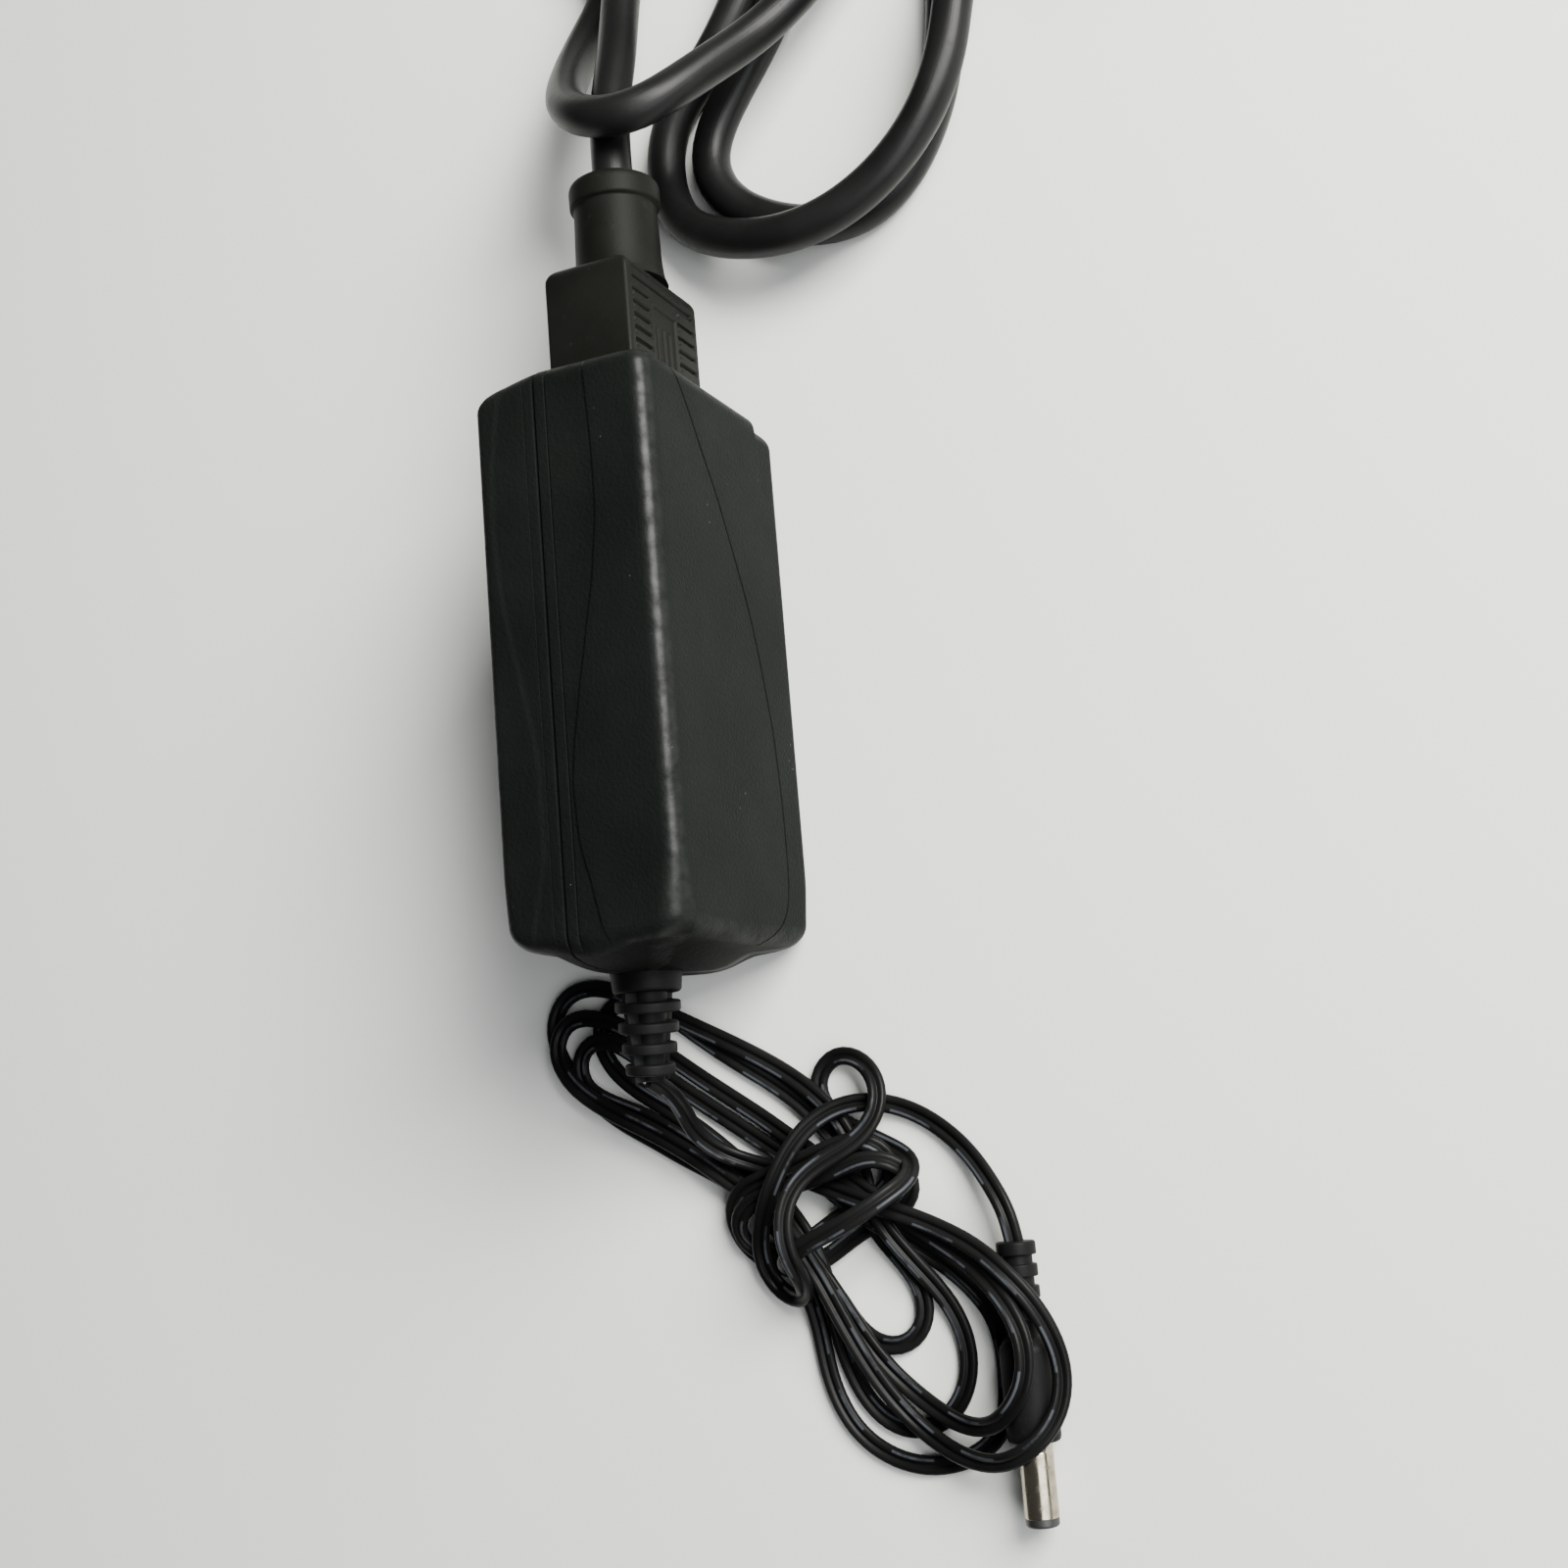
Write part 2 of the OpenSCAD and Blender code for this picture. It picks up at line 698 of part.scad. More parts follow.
thick_shell();
thin_shell();
rating_label();
inlet_housing();
inlet_line_pin();
inlet_neutral_pin();
inlet_earth_pin();
circuit_board();
insulation_sheet();
transformer_core();
transformer_winding();
bulk_capacitor();
output_capacitors();
line_filter_choke();
x_capacitor();
y_capacitor();
bridge_rectifier();
input_fuse();
inrush_thermistor();
primary_heatsink();
switching_transistor();
secondary_heatsink();
output_rectifier();
heatsink_screws();
optocoupler();
controller_chip();
output_choke();
inlet_wires();
output_wires();
output_strain_relief();
dc_cord_start();
dc_cord_hank();
dc_cord_tail();
barrel_plug_grip();
barrel_plug_sleeve();
barrel_plug_tip();
barrel_plug_contact();
connector_body();
connector_nose();
connector_boot();
connector_contacts();
mains_cord_first_loop();
mains_cord_second_loop();
mains_cord_third_loop();
mains_cord_hank();
mains_cord_tail();
hank_tie();
mains_plug_body();
mains_plug_blades();
mains_plug_earth_pin();
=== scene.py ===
import json
import math

import bpy
import numpy as np
from mathutils import Matrix


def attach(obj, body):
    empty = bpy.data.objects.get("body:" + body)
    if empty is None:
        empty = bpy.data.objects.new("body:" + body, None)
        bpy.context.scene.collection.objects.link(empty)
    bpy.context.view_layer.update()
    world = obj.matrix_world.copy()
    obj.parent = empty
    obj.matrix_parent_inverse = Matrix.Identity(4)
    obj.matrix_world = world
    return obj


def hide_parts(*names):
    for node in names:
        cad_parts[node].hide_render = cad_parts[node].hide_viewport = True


# Desktop power adapter with its mains lead and its low-voltage lead.
# Shapes are worked out in millimetres and written in metres.
# +Z is up, +Y points to the mains end, and +X runs across the case.

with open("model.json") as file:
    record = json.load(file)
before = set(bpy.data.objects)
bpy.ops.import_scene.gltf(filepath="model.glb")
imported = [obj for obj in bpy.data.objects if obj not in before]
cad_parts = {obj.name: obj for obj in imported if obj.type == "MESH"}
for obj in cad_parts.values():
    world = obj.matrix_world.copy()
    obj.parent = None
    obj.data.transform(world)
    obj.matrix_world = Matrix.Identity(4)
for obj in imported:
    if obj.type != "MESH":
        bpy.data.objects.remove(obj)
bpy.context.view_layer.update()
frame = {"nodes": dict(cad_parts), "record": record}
nodes = frame["nodes"]
metre = 0.001


# mesh helpers: every piece is one or more grids of points

def unitRows(vectors):
    # each row divided by its own length
    return vectors / np.maximum(np.linalg.norm(vectors, axis=-1, keepdims=True), 1e-12)


def gridQuads(rows, columns, closeRows=False, closeColumns=False, start=0):
    # four corners of every cell of a rows x columns grid, wrapped round where it closes
    r = np.arange(rows if closeRows else rows - 1)[:, None]
    c = np.arange(columns if closeColumns else columns - 1)[None, :]
    nextC = (c + 1) % columns
    here = r * columns
    there = (r + 1) % rows * columns
    corners = [here + c, here + nextC, there + nextC, there + c]
    return start + np.stack([np.broadcast_to(k, (r.size, c.size)) for k in corners], -1).reshape(-1, 4)


def signedVolume(points, quads):
    # sum of the tetrahedra between the origin and both triangles of each quad
    a, b, c, d = (points[quads[:, k]] for k in range(4))
    return float((np.cross(a, b) * c).sum() + (np.cross(a, c) * d).sum())


def makePiece(name, points, quads, body, slot, replaced, sharp, fields=None, finish=None):
    # one closed mesh, faces outwards, edges sharp above an angle in degrees, riding on its body
    points = np.asarray(points, float).reshape(-1, 3)
    if signedVolume(points, quads) < 0:
        quads = quads[:, ::-1]
    mesh = bpy.data.meshes.new(name)
    mesh.from_pydata((points * metre).tolist(), [], quads.tolist())
    for key, values in (fields or {}).items():
        layer = mesh.attributes.new(key, "FLOAT", "POINT")
        layer.data.foreach_set("value", np.asarray(values, np.float32).ravel())
    piece = bpy.data.objects.new(name, mesh)
    bpy.context.scene.collection.objects.link(piece)
    weld = piece.modifiers.new("weld", "WELD")
    weld.merge_threshold = 2e-6
    settleMesh(piece)
    mesh = piece.data
    mesh.shade_smooth()
    mesh.set_sharp_from_angle(angle=math.radians(sharp))
    mesh.materials.append(finishes[finish or slot])
    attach(piece, body)
    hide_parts(*replaced)
    return piece


def settleMesh(piece):
    # the modifiers are applied, so that the mesh is the finished one
    bpy.context.view_layer.update()
    evaluated = piece.evaluated_get(bpy.context.evaluated_depsgraph_get())
    settled = bpy.data.meshes.new_from_object(evaluated)
    piece.modifiers.clear()
    old = piece.data
    piece.data = settled
    bpy.data.meshes.remove(old)
    settled.name = piece.name


def joined(parts):
    # several (points, quads) into one pair
    points, quads, start = [], [], 0
    for p, q in parts:
        p = np.asarray(p, float).reshape(-1, 3)
        points.append(p)
        quads.append(q + start)
        start += len(p)
    return np.concatenate(points), np.concatenate(quads)


def smoothStep(x, low, high):
    # 0 below low, 1 above high, 3t^2 - 2t^3 between
    t = np.clip((x - low) / (high - low), 0, 1)
    return t * t * (3 - 2 * t)


def runs(*legs):
    # samples along several stretches: each leg is (from, to, number of steps), joined end to end
    pieces = [np.linspace(a, b, n, endpoint=False) for a, b, n in legs]
    return np.concatenate(pieces + [[legs[-1][1]]])


def through(points, spacing):
    # smooth curve through the points: Catmull-Rom with steps by the root of the distance, resampled evenly
    p = np.asarray(points, float)
    p = np.vstack([2 * p[0] - p[1], p, 2 * p[-1] - p[-2]])
    step = np.sqrt(np.linalg.norm(np.diff(p, axis=0), axis=1))
    at = np.concatenate([[0], np.cumsum(step)])
    fineness = 24
    t = np.linspace(0, 1, fineness, endpoint=False)[None, :, None]
    a, b, c, d = p[:-3, None], p[1:-2, None], p[2:-1, None], p[3:, None]
    ta, tb, tc, td = (at[k:len(at) - 3 + k, None, None] for k in range(4))
    s = tb + (tc - tb) * t
    ab = (tb - s) / (tb - ta) * a + (s - ta) / (tb - ta) * b
    bc = (tc - s) / (tc - tb) * b + (s - tb) / (tc - tb) * c
    cd = (td - s) / (td - tc) * c + (s - tc) / (td - tc) * d
    abc = (tc - s) / (tc - ta) * ab + (s - ta) / (tc - ta) * bc
    bcd = (td - s) / (td - tb) * bc + (s - tb) / (td - tb) * cd
    fine = ((tc - s) / (tc - tb) * abc + (s - tb) / (tc - tb) * bcd).reshape(-1, 3)
    fine = np.vstack([fine, p[-2]])
    return evenly(fine, spacing)


def lengthOf(path):
    return float(np.linalg.norm(np.diff(path, axis=0), axis=1).sum())


def evenly(path, spacing):
    # the same curve with points at one spacing
    run = np.concatenate([[0], np.cumsum(np.linalg.norm(np.diff(path, axis=0), axis=1))])
    count = max(2, int(round(run[-1] / spacing)) + 1)
    at = np.linspace(0, run[-1], count)
    return np.stack([np.interp(at, run, path[:, k]) for k in range(3)], 1)


def softened(rows, passes):
    # each row moves to the mean of itself and its neighbours, the ends stay
    rows = rows.copy()
    for _ in range(passes):
        rows[1:-1] = rows[1:-1] * 0.5 + (rows[:-2] + rows[2:]) * 0.25
    return rows


def carried(path, hints, outline):
    # outline (across, above) carried along the path; "above" is the hint made square to the path
    ahead = unitRows(np.gradient(path, axis=0))
    above = unitRows(hints - (hints * ahead).sum(1, keepdims=True) * ahead)
    across = np.cross(ahead, above)
    outline = np.asarray(outline, float)
    if outline.ndim == 2:
        outline = np.broadcast_to(outline, (len(path),) + outline.shape)
    return path[:, None] + outline[..., 0:1] * across[:, None] + outline[..., 1:2] * above[:, None]


def capped(rings):
    # closes both ends of a stack of rings with a point at each end ring's middle
    first = np.broadcast_to(rings[0].mean(0), rings[0].shape)
    last = np.broadcast_to(rings[-1].mean(0), rings[-1].shape)
    return np.concatenate([first[None], rings, last[None]])


def turned(profile, sides, centre, axis=1):
    # profile rows (distance along the axis, radius) turned once round the axis through centre
    angle = np.linspace(0, 2 * np.pi, sides, endpoint=False)
    profile = np.asarray(profile, float)
    along = np.broadcast_to(profile[:, :1], (len(profile), sides))
    parts = [None, None, None]
    parts[axis] = along
    others = [k for k in range(3) if k != axis]
    parts[others[0]] = profile[:, 1:] * np.cos(angle)
    parts[others[1]] = profile[:, 1:] * np.sin(angle)
    return np.stack(parts, -1) + np.asarray(centre, float)


def filletedProfile(corners):
    # corner rows (along, radius, fillet): every corner with a fillet becomes an arc of 6 steps
    corners = np.asarray(corners, float)
    out = []
    for i, (a, r, fillet) in enumerate(corners):
        here = np.array([a, r])
        if fillet <= 0 or i in (0, len(corners) - 1):
            out.append(here[None])
            continue
        back = corners[i - 1, :2] - here
        front = corners[i + 1, :2] - here
        reach = min(fillet, 0.49 * np.linalg.norm(back), 0.49 * np.linalg.norm(front))
        p = here + back / np.linalg.norm(back) * reach
        q = here + front / np.linalg.norm(front) * reach
        t = np.linspace(0, 1, 7)[:, None]
        out.append((1 - t) ** 2 * p + 2 * t * (1 - t) * here + t ** 2 * q)
    return np.concatenate(out)


# camera

camera = {
    "place": (0.1508, -0.0775, 0.3172),
    "ahead": (-0.3941, 0.1709, -0.9030),
    "up": (0.1438, 0.9819, 0.1231),
    "lens": 45.66,
    "sensor": 36.0,
}


def makeCamera():
    ahead = unitRows(np.array([camera["ahead"]]))[0]
    up = np.array(camera["up"])
    up = unitRows((up - ahead * (up @ ahead))[None])[0]
    right = np.cross(ahead, up)
    data = bpy.data.cameras.new("camera")
    data.lens = camera["lens"]
    data.sensor_width = camera["sensor"]
    data.clip_start = 0.01
    data.clip_end = 20
    holder = bpy.data.objects.new("camera", data)
    bpy.context.scene.collection.objects.link(holder)
    turn = np.eye(4)
    turn[:3, 0], turn[:3, 1], turn[:3, 2], turn[:3, 3] = right, up, -ahead, camera["place"]
    holder.matrix_world = Matrix(turn.tolist())
    bpy.context.scene.camera = holder


makeCamera()
print("camera made")


# shader helpers

class Number:
    # one socket, so that shader maths reads as plain arithmetic
    def __init__(self, finish, socket):
        self.finish = finish
        self.socket = socket

    def math(self, operation, first, second=0.0):
        return self.finish.node("ShaderNodeMath", {"operation": operation}, {0: first, 1: second})

    def __add__(self, other):
        return self.math("ADD", self, other)

    def __sub__(self, other):
        return self.math("SUBTRACT", self, other)

    def __rsub__(self, other):
        return self.math("SUBTRACT", other, self)

    def __mul__(self, other):
        return self.math("MULTIPLY", self, other)

    def __truediv__(self, other):
        return self.math("DIVIDE", self, other)

    def __mod__(self, other):
        return self.math("FLOORED_MODULO", self, other)

    def __abs__(self):
        return self.math("ABSOLUTE", self)

    def between(self, low, high):
        # 0 below low, 1 above high, smooth between
        return self.finish.node("ShaderNodeMapRange", {"interpolation_type": "SMOOTHSTEP"},
                                {0: self, 1: low, 2: high})

    __radd__ = __add__
    __rmul__ = __mul__


class Finish:
    # one material: a Principled shader whose sockets take numbers, colours or links
    def __init__(self, name, **constants):
        self.material = bpy.data.materials.new(name)
        self.material.use_nodes = True
        self.tree = self.material.node_tree
        self.shader = self.tree.nodes["Principled BSDF"]
        for key, value in constants.items():
            self.set(key, value)

    def set(self, key, value):
        self.feed(self.shader.inputs[key.replace("_", " ").title().replace("Ior", "IOR")], value)

    def feed(self, socket, value):
        if isinstance(value, Number):
            self.tree.links.new(value.socket, socket)
        elif isinstance(value, tuple) and len(value) == 3 and socket.type == "RGBA":
            socket.default_value = value + (1.0,)
        else:
            socket.default_value = value

    def node(self, kind, settings=None, inputs=None, output=0):
        made = self.tree.nodes.new(kind)
        for key, value in (settings or {}).items():
            setattr(made, key, value)
        for key, value in (inputs or {}).items():
            self.feed(made.inputs[key], value)
        return Number(self, made.outputs[output])

    def place(self):
        return self.node("ShaderNodeTexCoord", output="Object")

    def field(self, name):
        return self.node("ShaderNodeAttribute", {"attribute_name": name}, output="Fac")

    def noise(self, scale, detail=2.0, rough=0.5, at=None):
        inputs = {"Vector": at or self.place(), "Scale": scale, "Detail": detail, "Roughness": rough}
        return self.node("ShaderNodeTexNoise", None, inputs)

    def cells(self, scale):
        # distance to the nearest of scattered points
        return self.node("ShaderNodeTexVoronoi", None, {"Vector": self.place(), "Scale": scale})

    def mixed(self, share, first, second):
        # colours mixed by share
        return self.node("ShaderNodeMix", {"data_type": "RGBA"}, {0: share, 6: first, 7: second}, output=2)

    def bump(self, height, distance):
        # normals of a height from 0 to 1 that stands out by distance metres
        return self.node("ShaderNodeBump", None, {"Height": height, "Distance": distance})

    def split(self, vector):
        # the three parts of a vector
        parts = self.node("ShaderNodeSeparateXYZ", None, {0: vector}).socket.node
        return [Number(self, socket) for socket in parts.outputs]

    def stretched(self, x, y, z):
        # object coordinates scaled on each axis
        return self.node("ShaderNodeMapping", None, {"Vector": self.place(), "Scale": (x, y, z)})


def darker(colour, share):
    return tuple(c * share for c in colour)


# finishes, one for each material slot of the record

finishes = {}

plainFinishes = {
    # colour, roughness, how far the tone drifts, grain scale, grain height, metallic share
    "label_film": ((0.035, 0.036, 0.037), 0.42, 0.1, 700, 0.004, 0),
    "inlet_plastic": ((0.012, 0.012, 0.012), 0.45, 0.2, 2500, 0.01, 0),
    "board_laminate": ((0.03, 0.14, 0.06), 0.35, 0.25, 1200, 0.01, 0),
    "insulation_film": ((0.72, 0.71, 0.66), 0.3, 0.05, 300, 0.01, 0),
    "ferrite": ((0.045, 0.045, 0.05), 0.6, 0.3, 2600, 0.03, 0),
    "winding_tape": ((0.75, 0.5, 0.08), 0.35, 0.12, 500, 0.01, 0),
    "capacitor_sleeve": ((0.01, 0.014, 0.06), 0.25, 0.15, 600, 0.006, 0),
    "copper_winding": ((0.55, 0.2, 0.07), 0.3, 0.2, 2400, 0.05, 0.9),
    "capacitor_box": ((0.65, 0.45, 0.08), 0.4, 0.1, 1500, 0.01, 0),
    "ceramic_disc": ((0.05, 0.13, 0.4), 0.3, 0.15, 1400, 0.03, 0),
    "chip_epoxy": ((0.012, 0.012, 0.012), 0.55, 0.3, 3000, 0.012, 0),
    "fuse_body": ((0.3, 0.16, 0.06), 0.4, 0.15, 1200, 0.01, 0),
    "sink_metal": ((0.72, 0.73, 0.74), 0.32, 0.06, 900, 0.01, 1.0),
    "wire_insulation": ((0.25, 0.02, 0.015), 0.3, 0.1, 1000, 0.006, 0),
    "contact_brass": ((0.70, 0.50, 0.20), 0.25, 0.08, 900, 0.006, 1.0),
}


def makePlainFinish(slot, colour, rough, vary, grain, depth, metallic):
    # moulded or sheet stuff: tone and gloss drift slowly, and a fine grain stands out by depth millimetres
    finish = Finish(slot, metallic=float(metallic))
    drift = finish.noise(grain * 0.12, 3).between(0.3, 0.7)
    finish.set("base_color", finish.mixed(drift, darker(colour, 1 - vary), darker(colour, 1 + vary)))
    finish.set("roughness", drift * 0.12 + (rough - 0.06))
    finish.set("normal", finish.bump(finish.noise(grain, 3), depth * metre))
    return finish.material


for slotName, settings in plainFinishes.items():
    finishes[slotName] = makePlainFinish(slotName, *settings)

caseFinish = {
    "colour": (0.0050, 0.0060, 0.0053),
    # lighter tone for the ridge crests: partly wear, partly painted highlight
    "wornAndSheen": (0.011, 0.012, 0.0112),
    "dust": (0.13, 0.13, 0.12),
    "rough": 0.52,
    "shineRough": 0.33,
    "specular": 0.02,
    "texture": 1500.0,
    "textureDepth": 0.19,
    "speckScale": 380.0,
    "speckSize": 0.06,
}


def makeCaseFinish():
    # spark-textured moulding: two grains of bump, ridges glossier and lighter in tone (partly wear, partly
    # painted highlight), dust and hair scratches
    finish = Finish("case_plastic", specular_ior_level=caseFinish["specular"], coat_roughness=0.36)
    ridge = finish.field("ridge")
    # mask along the ridge crests broken by noise: wear plus painted highlight in the colour, gloss in the
    # coat
    rubbedAndSheen = ridge * finish.noise(420, 4).between(0.1, 0.8)
    drift = finish.noise(55, 4).between(0.3, 0.7)
    body = finish.mixed(drift, darker(caseFinish["colour"], 0.86), darker(caseFinish["colour"], 1.16))
    # ridge crests painted lighter in tone: partly wear, partly a painted highlight along the rounded edges
    body = finish.mixed(rubbedAndSheen * 0.6, body, caseFinish["wornAndSheen"])
    size = caseFinish["speckSize"]
    speck = 1 - finish.cells(caseFinish["speckScale"]).between(size * 0.5, size)
    speck = speck * finish.noise(90, 2).between(0.52, 0.62)
    finish.set("base_color", finish.mixed(speck * 0.8, body, caseFinish["dust"]))
    smear = finish.noise(38, 5, 0.65).between(0.42, 0.75)
    gloss = caseFinish["rough"] - smear * 0.07 + drift * 0.04
    finish.set("roughness", gloss - ridge * (caseFinish["rough"] - caseFinish["shineRough"]) + speck * 0.3)
    finish.set("coat_weight", rubbedAndSheen * 0.3)
    coarse = finish.noise(caseFinish["texture"], 2)
    fineGrain = finish.noise(caseFinish["texture"] * 2.3, 2)
    scratch = finish.noise(1, 2, at=finish.stretched(900, 14, 900)).between(0.70, 0.78)
    height = coarse * 0.7 + fineGrain * 0.3 - scratch * 0.5
    finish.set("normal", finish.bump(height, caseFinish["textureDepth"] * metre))
    return finish.material


finishes["case_plastic"] = makeCaseFinish()


def makePvcFinish(slot, colour, rough, grain, depth, dust):
    # soft moulded vinyl, matt, with a little pale dust in its grain
    finish = Finish(slot, specular_ior_level=0.07)
    drift = finish.noise(70, 4).between(0.3, 0.7)
    body = finish.mixed(drift, darker(colour, 0.82), darker(colour, 1.2))
    pale = finish.noise(420, 5, 0.7).between(0.60, 0.78)
    finish.set("base_color", finish.mixed(pale * dust, body, (0.12, 0.12, 0.11)))
    finish.set("roughness", drift * 0.1 + (rough - 0.05) + pale * 0.1)
    finish.set("normal", finish.bump(finish.noise(grain, 3), depth * metre))
    return finish.material


finishes["moulded_pvc"] = makePvcFinish("moulded_pvc", (0.0046, 0.0050, 0.0048), 0.5, 2200, 0.02, 0.05)
finishes["connector_pvc"] = makePvcFinish("connector_pvc", (0.0048, 0.0050, 0.0042), 0.52, 2000, 0.03, 0.05)

cordFinish = {
    "colour": (0.0044, 0.0046, 0.0044),
    "rough": 0.42,
    "mark": (0.040, 0.044, 0.052),
    "markPitch": 14.0,
    "markShare": 0.58,
}


def makeRoundCordFinish():
    # extruded vinyl sheath: long draw lines and slow changes of gloss along the cord
    finish = Finish("cord_pvc_round", specular_ior_level=0.16)
    along = finish.field("alongCord")
    around = finish.field("aroundCord")
    drift = finish.noise(45, 4).between(0.3, 0.7)
    colour = cordFinish["colour"]
    finish.set("base_color", finish.mixed(drift, darker(colour, 0.8), darker(colour, 1.5)))
    scuff = finish.noise(240, 5, 0.7).between(0.55, 0.75)
    finish.set("roughness", drift * 0.08 + scuff * 0.1 + (cordFinish["rough"] - 0.06))
    lane = finish.node("ShaderNodeCombineXYZ", None, {0: along * 0.02, 1: around * 6.0, 2: 0.0})
    lines = finish.noise(2.0, 3, at=lane)
    finish.set("normal", finish.bump(lines * 0.6 + finish.noise(900, 3) * 0.4, 0.05 * metre))
    return finish.material


def makeFlatCordFinish():
    # the same sheath on two cores, with a broken pale line printed on one of them
    finish = Finish("cord_pvc_flat", specular_ior_level=0.07)
    along = finish.field("alongCord")
    core = finish.field("coreSide")
    face = finish.field("coreFace")
    drift = finish.noise(60, 4).between(0.3, 0.7)
    body = finish.mixed(drift, darker(cordFinish["colour"], 0.8), darker(cordFinish["colour"], 1.6))
    line = (1 - abs(core - 0.56).between(0.10, 0.16)) * face.between(0.2, 0.3)
    share = (along / cordFinish["markPitch"]) % 1.0
    dash = 1 - abs(share - 0.5).between(cordFinish["markShare"] / 2 - 0.02, cordFinish["markShare"] / 2)
    printed = line * dash * finish.noise(150, 4, 0.7).between(0.30, 0.55)
    finish.set("base_color", finish.mixed(printed, body, cordFinish["mark"]))
    scuff = finish.noise(300, 5, 0.7).between(0.55, 0.75)
    finish.set("roughness", drift * 0.08 + scuff * 0.1 + (cordFinish["rough"] - 0.12))
    finish.set("normal", finish.bump(finish.noise(700, 3), 0.03 * metre))
    return finish.material


finishes["cord_pvc"] = makeRoundCordFinish()
finishes["flat_cord"] = makeFlatCordFinish()


def makeNickelFinish():
    # nickel plate: turning rings round the barrel, and a warm, slightly tarnished tone
    finish = Finish("nickel_plate", metallic=1.0)
    tarnish = finish.noise(420, 5, 0.6).between(0.4, 0.75)
    finish.set("base_color", finish.mixed(tarnish, (0.46, 0.41, 0.32), (0.24, 0.20, 0.15)))
    rings = finish.noise(1, 3, at=finish.stretched(60, 9000, 60))
    finish.set("roughness", tarnish * 0.16 + rings * 0.08 + 0.14)
    finish.set("normal", finish.bump(rings, 0.004 * metre))
    return finish.material


finishes["nickel_plate"] = makeNickelFinish()


def makeStrapFinish():
    # woven hook-and-loop strap: crossed ribs from two triangle waves, fuzzed by a fine noise
    finish = Finish("tie_strap", specular_ior_level=0.1)
    x, y, _ = finish.split(finish.place())
    threads = 1250.0  # to the metre
    ribs = abs(((x * threads) % 1.0) - 0.5) * 2.0
    wales = abs(((y * threads) % 1.0) - 0.5) * 2.0
    fuzz = finish.noise(3200, 4, 0.7)
    weave = ribs * 0.5 + wales * 0.5
    finish.set("base_color", finish.mixed(weave * fuzz, (0.004, 0.004, 0.004), (0.016, 0.016, 0.017)))
    finish.set("roughness", fuzz * 0.1 + 0.78)
    finish.set("normal", finish.bump(weave * 0.6 + fuzz * 0.4, 0.12 * metre))
    return finish.material


finishes["tie_strap"] = makeStrapFinish()

slotOfNode = {entry["node"]: entry["material_slot"] for entry in frame["record"]["subparts"]}
for nodeName, nodeObject in nodes.items():
    nodeObject.data.materials.clear()
    nodeObject.data.materials.append(finishes[slotOfNode[nodeName]])
print("finishes made:", len(finishes))


# mains cord: from the boot, round its loops, through the tied hank, to the plug

mainsCord = {
    "radius": 3.6,
    "hankMiddle": (51, 216),
    "hankRadii": (29, 21.7, 14.4),
    "swell": 0.06,
    "layLength": 95.0,
    "ringStep": 2.0,
    "sides": 22,
    "firstLoop": [
        (0, 88.8, 25), (0, 95, 25), (-1, 106, 22.4), (-1, 118, 18), (-1.5, 130, 14), (-1, 143, 11),
        (3, 160, 7), (7, 178, 4.5), (7, 197, 3.6), (-1, 214, 3.6), (-16, 223, 3.6), (-32, 218, 3.6),
        (-41, 203, 3.6), (-39, 185, 3.6), (-28, 168, 3.6), (-14, 154, 3.6), (-8, 141, 3.8), (-11, 133, 6),
        (-12.5, 123, 12), (-11, 112, 20.5), (-6.5, 104, 27.5), (-1, 99.5, 31.3), (4, 97.5, 32),
        (10, 98.5, 30.5), (18.5, 107, 23), (27, 116, 15), (37, 126, 11.4), (50, 141, 11.2)],
    "outerRun": [
        (60, 150, 11.2), (67, 158, 11.2), (73, 166.5, 11.2), (78, 175.5, 9.8), (80, 185, 6.2),
        (80, 195, 3.7)],
    "secondLoop": [
        (22, 141, 3.6), (18.3, 130.4, 3.6), (10.4, 119.5, 3.6), (2.2, 110.5, 3.6), (0, 101, 3.6),
        (2, 91, 4.5), (9.5, 84, 7.2), (21, 79, 10.5), (33, 79, 11), (44, 83.5, 11), (53, 92, 11),
        (59, 103, 11), (62, 116, 11), (66, 129, 8), (69, 141, 4.6)],
    "middleRun": [(71.7, 151, 3.7)],
    "thirdLoop": [
        (29.7, 141, 3.6), (26.3, 128.6, 3.6), (19.4, 117.8, 3.6), (12, 107.9, 3.6), (8.6, 100, 3.6),
        (12, 92, 3.6), (20, 85.5, 3.6), (31, 81.5, 3.6), (42, 83, 3.6), (50, 91, 3.6), (55, 102, 3.6),
        (57.5, 115, 3.6), (59, 128, 3.6), (61.5, 141, 3.6)],
    "innerRun": [(64.3, 151, 3.6)],
    "underRun": [
        (38, 149.7, 3.6), (42, 145.7, 3.6), (47.35, 144.2, 3.6), (52.7, 145.7, 3.6), (56.7, 149.7, 3.6),
        (58.1, 155, 3.6), (58.1, 165, 3.6), (58.1, 176, 3.6), (58.1, 185, 4.2), (58.2, 193, 7.4),
        (59.4, 200, 10.6), (63, 205, 11.2), (69, 208.5, 11.2), (76, 211.5, 11.2)],
    "tail": [
        (84.5, 214, 11.2), (92, 213, 11), (99, 207, 11), (101, 198, 11), (101, 190, 11), (101, 184, 11)],
}


def hankTurn(radius, rise, fall):
    # up one side of the hank, half round its far end in nine points on the tenth, and down the other side
    x, y = mainsCord["hankMiddle"]
    low = mainsCord["radius"]
    angle = np.linspace(0, np.pi, 9)
    arc = np.stack([x + radius * np.cos(angle), y + radius * np.sin(angle), low + 0 * angle], 1)
    up = [(x + radius, place, low) for place in rise]
    down = [(x - radius, place, low) for place in fall]
    return up + np.round(arc, 1).tolist() + down


